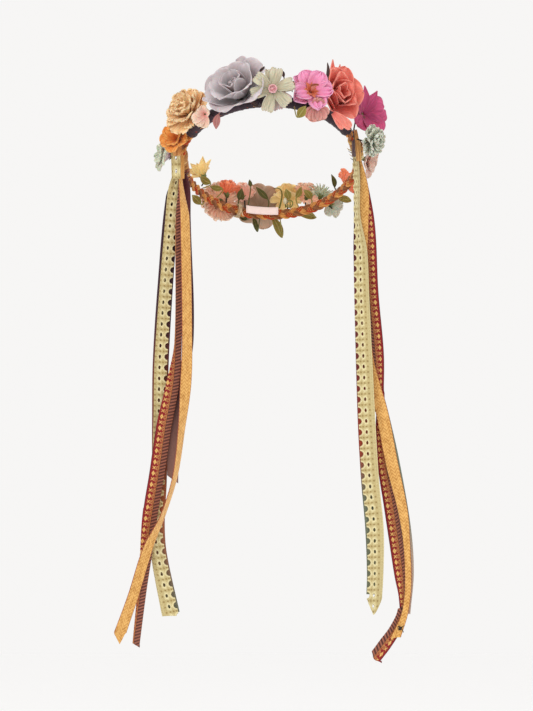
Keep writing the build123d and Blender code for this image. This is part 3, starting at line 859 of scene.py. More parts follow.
def make_calyxes():
    """Five pointed sepals round a small cup behind each blossom."""
    rng = random.Random(53)
    material = petal_material("sepal_cloth", 0.6, vein=0.4, veins=8, crinkle=0.3)
    tones = (rgb(92, 96, 44), rgb(126, 130, 70), rgb(160, 162, 104))
    for name, table in (("front_calyxes", FRONT), ("back_calyxes", BACK)):
        sheets = Sheets()
        for blossom, values in table.items():
            radius = values[3]
            place = blossom_seat(blossom) @ Matrix.Translation((0, 0, -0.0036))
            sepal = {"length": 4 + radius * 0.24, "width": 2.4 + radius * 0.12, "start": (0.6, 0.2),
                     "rise": (62, 40), "foot": 0.6, "belly": 0.35, "tip": 1.0, "arc": 34, "ruffle": 0.15,
                     "rows": 9, "cols": 7}
            whorl(sheets, place, 5, sepal, tones, rng, first=30)
            ball(sheets, place, (0, 0, 1.6), (2.0, 2.0, 2.0), tones[0], around=12, down=8)
        mesh = sheets.mesh(name + "_sepals")
        thicken(new_object(name + "_sepals", mesh, material, "crown", [name]), 0.0003)


def make_tendril():
    """A coated wire that arcs up from the back of the band to a hooked tip, and a second curl
    beside it."""
    foot = on_band(math.radians(173), -0.002, 0.006)
    green, pale = rgb(104, 100, 40), rgb(146, 140, 74)
    sheets = Sheets()
    points = []
    for k in range(40):
        s = k / 39
        points.append(foot + Vector((0.0030 * math.sin(s * 3.4) - 0.0045 * s**3, 0.0015 * math.sin(s * 3),
                                     0.0205 * math.sin(s * 1.75) ** 0.9)))
    tube(sheets, points, 0.00085, green, around=12, taper=lambda s: 1.1 - 0.65 * s)
    points = []
    for k in range(60):
        turn = k / 59 * 1.35 * TAU
        size = 0.0042 * (1 - 0.6 * k / 59)
        points.append(foot + Vector((0.0100 + size * math.cos(turn - 2.6), 0.0012 * k / 59 - 0.0005,
                                     0.0052 + size * math.sin(turn - 2.6))))
    tube(sheets, points, 0.0007, pale, around=12, taper=lambda s: 1.15 - 0.6 * s)
    new_object("tendril_curl", sheets.mesh("tendril_curl"), petal_material("tendril_coat", 0.6, vein=0.1),
               "crown", ["curled_tendril"])


# ---- the band ----
PLAITS = 26
BRAID_STEPS = 520
STRAND_SIDES = 20
STRAND_WIDTH = 5.7
STRAND_DEPTH = 2.5
STRAND_SLACK = 1.25     # a plaited strand's length over the hoop's
TANGENT_STEP = 0.0008   # share of the hoop over which a strand's direction is read


def strand_path(share, phase):
    """The point that a braid strand passes at a share of the hoop."""
    centre, out, up = band_frame(angle_at(share))
    turn = TAU * PLAITS * share + phase
    return centre + up * (2.8 * MM * math.sin(turn)) + out * (1.45 * MM * math.sin(2 * turn))


def strand_frame(share, phase):
    """(point, ahead, out, wide) of a strand, with out square to its run."""
    ahead = strand_path(share + TANGENT_STEP, phase) - strand_path(share - TANGENT_STEP, phase)
    ahead.normalize()
    out = outward(angle_at(share))
    out = (out - ahead * out.dot(ahead)).normalized()
    return strand_path(share, phase), ahead, out, ahead.cross(out)


def strand(phase, tint_of, relief_of):
    """A flattened trim that plaits with its two neighbours; closed round the hoop."""
    sheets = Sheets()
    rows = []
    for i in range(BRAID_STEPS + 1):
        share = (i % BRAID_STEPS) / BRAID_STEPS
        point, _, out, wide = strand_frame(share, phase)
        length = share * HOOP_LENGTH / MM * STRAND_SLACK
        row = []
        for j in range(STRAND_SIDES):
            turn = TAU * j / STRAND_SIDES
            x = math.copysign(abs(math.cos(turn)) ** 0.6, math.cos(turn))
            y = math.copysign(abs(math.sin(turn)) ** 0.8, math.sin(turn))
            lift = relief_of(x, length)
            spot = point + wide * (x * STRAND_WIDTH / 2 * MM) + out * (y * (STRAND_DEPTH / 2 + lift) * MM)
            row.append((spot, tint_of(x, length), (x, length)))
        rows.append(row)
    sheets.grid(rows, closed=True)
    return sheets


def make_braid():
    rng = random.Random(61)
    rust, dark = rgb(186, 66, 22), rgb(112, 32, 14)
    brown_dark, brown = rgb(96, 50, 26), rgb(166, 104, 60)
    tan, gold = rgb(176, 104, 44), rgb(230, 164, 88)

    def rust_tint(x, _):
        stripe = 0.5 + 0.5 * math.cos(x * 7.5)
        return blend_of(dark, rust, 0.35 + 0.65 * stripe)

    def brown_tint(x, length):
        rib = 0.5 + 0.5 * math.sin(TAU * (length / 1.3 + x * 0.8))
        return blend_of(brown_dark, brown, 0.25 + 0.6 * rib)

    def tan_tint(x, length):
        rib = 0.5 + 0.5 * math.sin(TAU * (length / 1.7 - abs(x) * 1.1))
        return blend_of(tan, gold, rib)

    def ribs(x, length):
        return 0.10 * math.sin(TAU * (length / 1.3 + x * 0.8))

    def herring(x, length):
        return 0.10 * math.sin(TAU * (length / 1.7 - abs(x) * 1.1))

    cloth = cloth_material("braid_cloth", 0.85, 0.2, rib_depth=0.0, fleck=0.25)
    sheets = strand(0.0, rust_tint, lambda x, _: 0.06 * math.cos(x * 7.5))
    stitches = int(HOOP_LENGTH / MM)
    for i in range(stitches):
        point, ahead, out, wide = strand_frame((i + 0.5) / stitches, 0.0)
        for face in (1, -1):
            for side in (-1, 0, 1):
                if side == 0 and i % 2:
                    continue
                spot = point + wide * (side * 1.45 * MM)
                spot += out * (face * (STRAND_DEPTH / 2 + 0.08) * MM)
                stitch = Matrix((wide, ahead, out * face)).transposed().to_4x4()
                stitch.translation = spot
                tone = blend_of(rgb(226, 164, 74), rgb(246, 206, 128), rng.random())
                ball(sheets, stitch, (0, 0, 0), (0.36, 0.40, 0.34), tone, around=6, down=4)
    new_object("jacquard_plait", sheets.mesh("jacquard_plait"), cloth, "crown",
               ["jacquard_strand"])
    sheets = strand(TAU / 3, brown_tint, ribs)
    new_object("brown_plait", sheets.mesh("brown_plait"), cloth, "crown", ["brown_strand"])
    sheets = strand(2 * TAU / 3, tan_tint, herring)
    new_object("tan_plait", sheets.mesh("tan_plait"), cloth, "crown", ["tan_strand"])


def wrapped_tube(sheets, first, last, radius, pitch, tones, rng):
    """Tape wound round the braid between two angles in degrees, each turn lapping the one before.
    The radius and the pitch are in millimetres."""
    around = 40
    start, end = math.radians(first), math.radians(last)
    span = abs(end - start) * MEAN_RADIUS / MM
    count = max(12, int(span / 0.55))
    shades = [rng.uniform(0, 1) for _ in range(int(span / pitch) + 4)]
    rows = []
    for i in range(count + 1):
        angle = start + (end - start) * i / count
        centre, out, up = band_frame(angle)
        row = []
        for j in range(around):
            turn = TAU * j / around
            wound = span * i / count / pitch + j / around
            lap = wound % 1.0
            shade = shades[int(wound)]
            rim = 0.18 * math.exp(-((lap - 0.96) / 0.05) ** 2)
            size = radius + 0.3 * lap**1.4 + rim
            size += 0.16 * noise.noise(Vector((i * 0.11, math.cos(turn) * 2, math.sin(turn) * 2)))
            size += 0.10 * math.sin(turn * 7 + i * 0.23 + 5 * shade) * (0.4 + 0.6 * shade)
            edge = min(1.0, min(i, count - i) / 3.0)
            size *= 0.93 + 0.07 * edge
            # Painted highlight: each turn lightens towards its raised lapping edge; the change from turn to
            # turn is random tone.
            tone = blend_of(tones[0], tones[1], 0.25 + 0.45 * shade + 0.5 * lap**6)
            spot = centre + (out * math.cos(turn) + up * math.sin(turn)) * (size * MM)
            row.append((spot, tone, (j / around, span * i / count)))
        rows.append(row)
    first_ring = len(sheets.points)
    sheets.grid(rows, closed=True)
    sheets.cap(first_ring, around, flip=True)
    sheets.cap(first_ring + count * around, around)


def make_tape():
    """Paper tape wound over the front of the braid. Its near-black tint is partly the tape's own dark
    colour and partly painted shade on the front of the band.
    """
    rng = random.Random(62)
    sheets = Sheets()
    # Near-black tones: the tape's own dark colour with painted shade of the front arc in them.
    wrapped_tube(sheets, -66, 64, 5.55, 7.2, (rgb(24, 16, 22), rgb(70, 50, 62)), rng)
    new_object("tape_winding", sheets.mesh("tape_winding"),
               cloth_material("tape_paper", 0.62, 0.1, rib_along=1.6, rib_depth=0.12, fleck=0.3),
               "crown", ["floral_tape"])


def make_ties():
    """Ribbon wound round the braid in a few slanting turns, where the trimmings hang."""
    # Each pair runs from a tie's shaded tint to its lit one; the lapped edges and creases get painted light
    # from them.
    tan, gold = (rgb(140, 84, 38), rgb(214, 152, 84)), (rgb(196, 144, 72), rgb(230, 188, 116))
    rust, cream = (rgb(112, 48, 28), rgb(186, 92, 50)), (rgb(200, 178, 120), rgb(234, 218, 168))
    for name, first, last, palettes in (
            ("left_tie", -103.5, -84.5, [rust, tan, gold, tan]),
            ("right_tie", 71.5, 87.5, [tan, gold, rust, cream])):
        rng = random.Random(63)
        sheets = Sheets()
        wrapped_tube(sheets, first, last, 5.35, 5.2, palettes[1], rng)
        for index, tones in enumerate(palettes):
            angle = first + (last - first) * (index + 0.5) / len(palettes)
            wound_strap(sheets, angle, 5.5 + 0.15 * (index % 2), tones, rng)
        knot_over(sheets, first + (last - first) * 0.5, palettes[0])
        new_object(name + "_wrap", sheets.mesh(name + "_wrap"),
                   cloth_material(name + "_cloth", 0.7, 0.3, rib_along=1.0, rib_depth=0.15, fleck=0.2),
                   "crown", [name])


def wound_strap(sheets, angle, radius, tones, rng):
    """One closed turn of ribbon round the braid, creased lengthwise."""
    around, across = 56, 9
    width, slant, thickness = 5.8, 2.4, 0.5
    phase = rng.uniform(0, TAU)
    rows = []
    for j in range(around):
        turn = TAU * j / around
        outer, inner = [], []
        for k in range(across):
            u = 2 * k / (across - 1) - 1
            along = u * width / 2 + slant * math.sin(turn + phase)
            centre, out, up = band_frame(math.radians(angle) + along * MM / MEAN_RADIUS)
            crease = math.sin(2.5 * math.pi * u + 2 * turn + phase)
            size = radius + 0.26 * crease + 0.2 * abs(u) ** 3 + 0.2 * math.sin(3 * turn + 2 * phase)
            # Painted light: the strap is lighter where the crease bulges out and darker in its hollows.
            tone = blend_of(tones[0], tones[1], 0.5 + 0.4 * crease)
            way = out * math.cos(turn) + up * math.sin(turn)
            outer.append((centre + way * size * MM, tone, (turn * 6, u * 2)))
            inner.append((centre + way * (size - thickness) * MM, tone, (turn * 6, u * 2)))
        rows.append(outer + inner[::-1])
    rows.append(rows[0])
    sheets.grid(rows, closed=True)


def knot_over(sheets, middle, tones):
    """Two crossed bands, (lift, slant) each, that make a flattened knot on a tie's outer side."""
    steps, around = 32, 16
    for index, (lift, slant) in enumerate(((6.2, 0.5), (6.8, -0.6))):
        rows = []
        for i in range(steps + 1):
            s = i / steps
            turn = math.radians(-75 + 150 * s)
            here = math.radians(middle + slant * 6 * (s - 0.5))
            centre, out, up = band_frame(here)
            way = out * math.cos(turn) + up * math.sin(turn)
            wide = 2.3 + 1.4 * math.cos(math.pi * (s - 0.5))
            side = way.cross(out * -math.sin(turn) + up * math.cos(turn))
            row = []
            for j in range(around):
                roll = TAU * j / around
                crease = 1 + 0.10 * math.sin(5 * roll + index)
                off = side * (math.cos(roll) * wide * crease * MM)
                off += way * (math.sin(roll) * 0.75 * crease * MM)
                # Painted light: the knot is lighter where its crease bulges and darker in the hollows
                # between.
                tone = blend_of(tones[0], tones[1], 0.5 + 0.4 * math.sin(5 * roll + index))
                raised = lift * math.cos(math.pi * (s - 0.5)) ** 0.25
                row.append((centre + way * (raised * MM) + off, tone, (j / around * 3, s * 8)))
            rows.append(row)
        first = len(sheets.points)
        sheets.grid(rows, closed=True)
        sheets.cap(first, around, flip=True)
        sheets.cap(first + steps * around, around)


def make_twine():
    """Three close turns of two-ply twine round the braid that hold the label, and two short ends."""
    sheets = Sheets()
    light, shadow = rgb(224, 198, 158), rgb(170, 138, 100)
    reach, ply_radius, ply_offset = 6.45, 0.34, 0.28
    steps, around = 120, 8
    for turn_index in range(3):
        angle = math.radians(-157.2 + 1.1 * turn_index)
        centre, out, up = band_frame(angle)
        ahead = out.cross(up)
        for ply in (0, math.pi):
            rows = []
            for i in range(steps):
                turn = TAU * i / steps
                way = out * math.cos(turn) + up * math.sin(turn)
                wind = 15 * turn + ply
                spot = centre + way * ((reach + ply_offset * math.cos(wind)) * MM)
                spot += ahead * (ply_offset * math.sin(wind) * MM)
                row = []
                for j in range(around):
                    roll = TAU * j / around
                    off = way * math.cos(roll) + ahead * math.sin(roll)
                    tone = blend_of(shadow, light, 0.5 + 0.5 * math.cos(roll - wind))
                    row.append((spot + off * (ply_radius * MM), tone, (j / around, i)))
                rows.append(row)
            rows.append(rows[0])
            sheets.grid(rows, closed=True)
    centre, out, up = band_frame(math.radians(-156.1))
    for lean in (-0.5, 0.7):
        points = []
        for k in range(14):
            s = k / 13
            points.append(centre + out * (-0.0066 - 0.0012 * math.sin(s * 3))
                          + up * (-0.001 - 0.0085 * s) + out.cross(up) * (lean * 0.004 * s * s))
        tube(sheets, points, 0.00045, light, around=8)
    new_object("twine_turns", sheets.mesh("twine_turns"),
               cloth_material("twine_fibre", 0.9, 0.2, rib_depth=0.0, fleck=0.3),
               "crown", ["twine_tie"])


def make_label():
    """A blank satin tape that lies along the inner side of the band, slightly bowed, with folded ends."""
    sheets = Sheets()
    satin, shade = rgb(252, 230, 222), rgb(232, 200, 190)
    rows = []
    columns, across = 70, 13
    for i in range(columns + 1):
        s = i / columns
        angle = math.radians(173.5 + 25.5 * s)
        out = outward(angle)
        bow = 0.5 * math.sin(math.pi * s * 3) + 0.9 * (2 * s - 1) ** 4
        outer, inner = [], []
        for k in range(across):
            u = 2 * k / (across - 1) - 1
            hem = 0.22 * math.exp(-((abs(u) - 0.86) / 0.06) ** 2)
            ends = 0.30 * math.exp(-((abs(2 * s - 1) - 0.93) / 0.02) ** 2)
            offset = -(6.35 - 0.3 * bow + 0.35 * u * u)
            height = u * 4.5
            centre = on_band(angle, offset * MM, height * MM)
            # The satin darkens along its raised hems and at its folded ends; at the folded ends this is
            # painted shade.
            tone = blend_of(satin, shade, 0.6 * hem / 0.22 + 0.5 * ends / 0.3)
            outer.append((centre - out * ((0.15 + hem + ends) * MM), tone, (u * 3, s * 40)))
            inner.append((centre + out * (0.15 * MM), tone, (u * 3, s * 40)))
        rows.append(outer + inner[::-1])
    first = len(sheets.points)
    sheets.grid(rows, closed=True)
    sheets.cap(first, 2 * across, flip=True)
    sheets.cap(first + columns * 2 * across, 2 * across)
    new_object("label_tape", sheets.mesh("label_tape"),
               cloth_material("label_satin", 0.35, 0.3, rib_along=3.0, rib_depth=0.04, fleck=0.05),
               "crown", ["blank_label"])


def make_carried_over():
    """Materials for the CAD pieces that stay in view: the hoop's core wire and the stem wires."""
    wire = plain_material("dull_wire", rgb(120, 114, 104), 0.5, 900, metallic=0.8)
    stem = plain_material("coated_stem", rgb(44, 40, 34), 0.65, 1400, depth=0.5)
    for name, material, slot in (("hoop_wire", wire, "wire"), ("front_stem_wires", stem, "stem"),
                                 ("back_stem_wires", stem, "stem")):
        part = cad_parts[name]
        for place in part.material_slots:
            place.link = "OBJECT"
            place.material = material


# ---- ribbons and lace ----
# Every trimming hangs in its own upright layer at depth y, as in the CAD, so that each one can
# swing past its neighbours. side is 1 for the left ones and -1 for the right ones. A station is
# (height, centre, width shown). This section's lengths are in millimetres.
GOLD_TWILL = cloth_material("gold_twill", 0.62, 0.3, rib_depth=0.0, fleck=0.10)
JACQUARD_WEAVE = cloth_material("jacquard_weave", 0.75, 0.25, rib_depth=0.0, fleck=0.14)
LACE_COTTON = cloth_material("lace_cotton", 0.9, 0.2, rib_depth=0.10, fleck=0.12, rib_along=1.2)
RIBBON_SATIN = cloth_material("ribbon_satin", 0.5, 0.4, rib_depth=0.06, fleck=0.10, rib_along=2.2)
TIE_DROP = 8.9      # from the middle of the band to where the trimmings start
GATHERED = 34       # the length over which a trimming opens from its tie
END_STEP = 0.62     # the grid's step down the lace and the short ends


def smooth(value):
    value = min(1.0, max(0.0, value))
    return value * value * (3 - 2 * value)


def through(stations, column, height):
    """A smooth curve through one column of the stations, read at a height (heights fall)."""
    count = len(stations)
    if height >= stations[0][0]:
        return stations[0][column]
    for i in range(count - 1):
        upper, lower = stations[i], stations[i + 1]
        if height >= lower[0]:
            before = stations[max(0, i - 1)]
            after = stations[min(count - 1, i + 2)]
            span = upper[0] - lower[0]
            share = (upper[0] - height) / span
            in_slope = (lower[column] - before[column]) / (before[0] - lower[0] + 1e-9) * span
            out_slope = (after[column] - upper[column]) / (upper[0] - after[0] + 1e-9) * span
            a, b = share * share, share * share * share
            return ((2 * b - 3 * a + 1) * upper[column] + (b - 2 * a + share) * in_slope
                    + (3 * a - 2 * b) * lower[column] + (b - a) * out_slope)
    return stations[-1][column]


def sway(height, side):
    """All of a side's layers sway together, so that they keep their distance."""
    depth = -height
    return side * 1.6 * math.sin(depth / 75) + 2.2 * math.sin(depth / 160 + 1.2) - 2.0


def top_of(y):
    """Where a trimming in layer y meets its tie."""
    return -y * math.tan(LEAN) - TIE_DROP


def lengthwise(section_of, stations, y, side, step, columns, cut=None, lift_top=0.0):
    """Rows of (point, u, t), and the length: u from 0 to 1 across, t in millimetres down the
    trimming. The rows are about a step apart, and cut(u) is how much longer the end is at u.

    section_of(t, height, u, shown) gives the offset (x, y) of one point of the section, in
    millimetres, before the section is turned across the run."""
    top = top_of(y) + lift_top
    path = [(top, stations[0][1], stations[0][2])] + stations[1:]
    length = top - path[-1][0]
    rows_count = int(length / step) + 1
    rows = []
    for i in range(rows_count + 1):
        down = length * i / rows_count
        row = []
        for j in range(columns + 1):
            u = j / columns
            t = down
            if cut:
                t += cut(u) * smooth((down - (length - 26)) / 26)
            height = top - t
            x = through(path, 1, height)
            shown = through(path, 2, height)
            slope = (through(path, 1, height - 2) - through(path, 1, height + 2)) / 4
            norm = math.hypot(1, slope)
            across = Vector((1 / norm, 0, slope / norm))
            dx, dy = section_of(t, height, u, shown / norm)
            point = Vector((x, y + sway(height, side) + dy, height)) + across * dx
            row.append((point, u, t))
        rows.append(row)
    return rows, length


def gather(t, whole, share=0.42):
    """How wide the cloth lies where it is bunched into its tie."""
    return whole * (share + (1 - share) * smooth(t / GATHERED))


def twisted(whole):
    """A section that turns edge-on, in front of its layer, as the station narrows."""
    def section(t, height, u, shown):
        wide = gather(t, whole)
        cosine = min(1.0, shown / wide)
        sine = math.sqrt(max(0.0, 1 - cosine * cosine))
        off = (u - 0.5) * wide
        bunch = (1 - smooth(t / GATHERED)) * 0.8 * math.sin(u * TAU * 1.5)
        curl = 0.5 * math.cos((u - 0.5) * math.pi) * math.sin(height / 37)
        return off * cosine, -wide / 2 * sine + off * sine + bunch + curl
    return section


def rippled(whole, depth=0.8):
    """A section with soft lengthwise gathers that stay inside the trimming's own layer."""
    def section(t, height, u, shown):
        tight = 1 - min(1.0, shown / whole)
        bunch = (1 - smooth(t / GATHERED)) * 0.5
        swing = (0.25 + 1.6 * tight + bunch) * depth
        return (u - 0.5) * shown, min(1.3, swing) * math.sin(u * TAU + height / 55)
    return section


def folded(whole, radius=0.75):
    """A section that is folded lengthwise behind itself where it shows narrower than it is. Its
    right edge stays in front."""
    def section(t, height, u, shown):
        wide = gather(t, whole, 0.62)
        arc = (1 - u) * wide
        flat = shown - radius
        if shown > wide * 0.97:
            x, y = arc * shown / wide, 0.0
        elif arc < flat:
            x, y = arc, 0.0
        else:
            turn = min(math.pi, (arc - flat) / radius)
            back = max(0.0, arc - flat - math.pi * radius)
            rest = max(0.1, wide - flat - math.pi * radius)
            back *= min(1.0, (flat - 0.6) / rest)
            x, y = flat + radius * math.sin(turn) - back, radius * (1 - math.cos(turn))
        x -= shown / 2
        bunch = (1 - smooth(t / GATHERED)) * 0.4 * math.sin(x * 1.4)
        return -x, y + 0.35 * math.sin(x * 0.45 + height / 40) + bunch - 0.6
    return section


def lay(sheets, rows, tint_of, lift_of=None):
    """Turns rows into a grid, raised along the cloth's own normal by lift_of(u, t) millimetres."""
    built = []
    count, columns = len(rows), len(rows[0])
    for i, row in enumerate(rows):
        built_row = []
        for j, (point, u, t) in enumerate(row):
            if lift_of:
                across = row[min(j + 1, columns - 1)][0] - row[max(j - 1, 0)][0]
                down = rows[min(i + 1, count - 1)][j][0] - rows[max(i - 1, 0)][j][0]
                normal = across.cross(down)
                if normal.length > 1e-9:
                    normal.normalize()
                    point = point + normal * lift_of(u, t)
            built_row.append((point * MM, tint_of(u, t), (u, t)))
        built.append(built_row)
    sheets.grid(built)


def bar(distance, width, soft=0.25):
    """1 within a line's half width, fading to 0."""
    return 1 - smooth((abs(distance) - width) / soft)


def jacquard_cloth(whole, border_right):
    """The tint and lift of a burgundy field with gold diamonds, crosses and scroll loops, and a
    ribbed brown border."""
    edge = whole - 6.2
    period, rib_period = 11.3, 3.2
    field_dark, field = rgb(106, 20, 26), rgb(148, 32, 36)
    gold, bright = rgb(222, 166, 86), rgb(250, 212, 130)
    rib_dark, rib_light = rgb(66, 32, 30), rgb(170, 106, 84)

    def across_of(u):
        return (u if border_right else 1 - u) * whole

    def figures(across, t):
        along = (t + 200) % period - period / 2
        middle = 4.0
        diamond = abs(across - middle) / 1.6 + abs(along) / 2.6
        figure = bar(diamond - 0.68, 0.26, 0.25)
        hollow = bar(diamond, 0.10, 0.15)
        cross = min(abs((across - middle) - (abs(along) - period / 2)),
                    abs((across - middle) + (abs(along) - period / 2)))
        near = max(abs(across - middle), abs(abs(along) - period / 2))
        figure = max(figure, 0.9 * hollow, bar(cross, 0.36) * bar(near, 1.5))
        shifted = (t + 200 + period / 4) % (period / 2) - period / 4
        loop = math.hypot(across - 7.3, shifted / 1.25)
        figure = max(figure, 0.55 * bar(loop - 1.25, 0.12, 0.2), 0.5 * bar(loop, 0.2, 0.2))
        tail = (across - 7.3) - 1.0 * math.sin(TAU * t / (period / 2))
        return max(figure, 0.5 * bar(tail, 0.16, 0.2) * bar(across - 7.3, 1.1))

    def tint(u, t):
        across = across_of(u)
        if across > edge:
            rib = 0.5 + 0.5 * math.sin(TAU * (t + 0.45 * across) / rib_period)
            colour = blend_of(rib_dark, rib_light, rib)
            return blend_of(colour, rib_dark, 0.8 * bar(across - edge - 0.25, 0.2))
        weft = 0.5 + 0.5 * math.sin(TAU * t / 1.3)
        colour = blend_of(field_dark, field, 0.5 + 0.5 * weft)
        thread = blend_of(gold, bright, 0.5 + 0.5 * math.sin(TAU * (t + across) / 1.1))
        colour = blend_of(colour, thread, figures(across, t))
        colour = blend_of(colour, gold, 0.45 * bar(across - edge + 0.3, 0.15))
        return blend_of(colour, rib_dark, 0.7 * bar(across - 0.3, 0.3))

    def lift(u, t):
        across = across_of(u)
        if across > edge:
            return 0.18 * math.sin(TAU * (t + 0.45 * across) / rib_period)
        return 0.16 * figures(across, t) + 0.03 * math.sin(TAU * t / 1.3)
    return tint, lift


def gold_cloth(whole):
    """The tint and lift of a gold herringbone twill with fine red selvedges."""
    shade, light, red = rgb(182, 122, 52), rgb(240, 188, 110), rgb(150, 54, 36)

    def across_of(u):
        return u * whole

    def wale(u, t):
        across = across_of(u)
        slant = abs((across + 1.5) % 6.0 - 3.0)
        return math.sin(TAU * (t + 1.3 * slant) / 3.5)

    def tint(u, t):
        worn = noise.noise(Vector((across_of(u) * 0.35, t * 0.16, 3.1)))
        colour = blend_of(shade, light, 0.58 + 0.34 * wale(u, t) + 0.5 * worn)
        rim = min(u, 1 - u) * whole
        return blend_of(red, colour, smooth((rim - 0.15) / 0.5))

    def lift(u, t):
        rim = min(u, 1 - u) * whole
        return 0.07 * wale(u, t) + 0.14 * (1 - smooth(rim / 0.6))
    return tint, lift


def hang(name, rows, tint, lift, material, body, slot, flat, thickness, cad=None):
    """One ribbon of the model. It stands for the CAD node of its body's name unless cad names it."""
    sheets = Sheets()
    lay(sheets, rows, tint, lift)
    piece = new_object(name, sheets.mesh(name), material, body, [cad or body])
    thicken(piece, thickness)


THROAT_RADIUS = 9.3
THROAT_ARC = 96


def throat_under_tie(body, y, side, tones, material, width):
    """The bunched part of a trimming just below its tie. It is an arc about the trimming's hinge,
    so it slides along the tie as the trimming swings."""
    reach = math.sqrt(SIDE_RADIUS**2 - (y * MM / math.cos(LEAN)) ** 2) - ARC_SHIFT
    pivot = Vector((-side * reach / MM, y + sway(top_of(y), side), -y * math.tan(LEAN)))
    sheets = Sheets()
    rows = []
    around, section = 44, 26
    for i in range(around + 1):
        share = i / around
        turn = math.radians(-90 + THROAT_ARC * (share - 0.5))
        taper = math.sin(math.pi * (0.04 + 0.92 * share)) ** 0.5
        way = Vector((math.cos(turn), 0, math.sin(turn)))
        row = []
        for j in range(section):
            roll = TAU * j / section
            pleat = math.sin(6 * roll + 1.2 * math.sin(turn * 2))
            crease = 1 + 0.13 * pleat
            deep = 0.5 * crease * taper * (1 + 0.25 * math.sin(turn * 3 + y))
            spot = pivot + way * (THROAT_RADIUS + math.sin(roll) * deep)
            spot += Vector((0, math.cos(roll) * width / 2 * crease * taper, 0))
            # Painted light: the throat is lighter on the pleat crests and darker in the pleat hollows.
            tone = blend_of(tones[0], tones[1], 0.5 + 0.5 * pleat)
            row.append((spot * MM, tone, (j / section, turn * 9)))
        rows.append(row)
    sheets.grid(rows, closed=True)
    sheets.cap(0, section, flip=True)
    sheets.cap(around * section, section)
    name = body + "_throat"
    new_object(name, sheets.mesh(name), material, body)


LACE_PERIOD = 10.9
LACE_WIDTH = 17.5
# The lace runs from dark to pale cream; lace_mesh lightens it towards the pale end where its relief stands
# up, as painted highlight.
LACE_CREAM = (rgb(168, 144, 92), rgb(226, 212, 156), rgb(242, 232, 190))


def lace_figure(across, t):
    """(distance inside the cloth, distance outside the pricked dots, relief) at a point of the
    lace, in millimetres; across is 0 at the plain edge."""
    along = (t + 400) % LACE_PERIOD - LACE_PERIOD / 2
    between = LACE_PERIOD / 2 - abs(along)
    scallop = 3.0 - math.hypot((LACE_WIDTH - 0.2 - across) / 1.1, along / 1.05)
    rim = LACE_WIDTH - 0.5 * math.cos(TAU * between / LACE_PERIOD) - across
    eye_centre = 9.4
    width = 1.15 * math.cos(math.pi / 2 * min(1.0, abs(along) / 2.1))
    eye = width - abs(across - eye_centre) if abs(along) < 2.1 else -1.0
    dots = [(across - 12.9, between, 0.5), (across - 5.2, between, 0.5), (across - 9.4, between, 0.42),
            (across - 5.2, along, 0.42), (across - 15.6, between, 0.40)]
    inside = min(rim, across, -scallop, -eye)
    holes = min(math.hypot(dx, dt) - size for dx, dt, size in dots)
    relief = 0.34 * math.exp(-((scallop + 0.75) / 0.45) ** 2)
    oval = math.hypot(across - eye_centre, along / 1.45)
    relief += 0.36 * math.exp(-((oval - 1.85) / 0.42) ** 2)
    stitches = 0.6 + 0.4 * math.sin(6 * math.atan2(along, across - eye_centre))
    relief += 0.20 * math.exp(-((oval - 2.9) / 0.30) ** 2) * stitches
    relief -= 0.30 * math.exp(-(max(0.0, holes) / 0.45) ** 2)
    if across < 3.4:
        relief = 0.13 * math.sin(TAU * t / 1.5) * math.sin(math.pi * across / 3.4)
        relief += 0.22 * math.exp(-((across - 3.3) / 0.35) ** 2)
    relief += 0.24 * math.exp(-((across - 0.3) / 0.35) ** 2)
    return inside, holes, relief


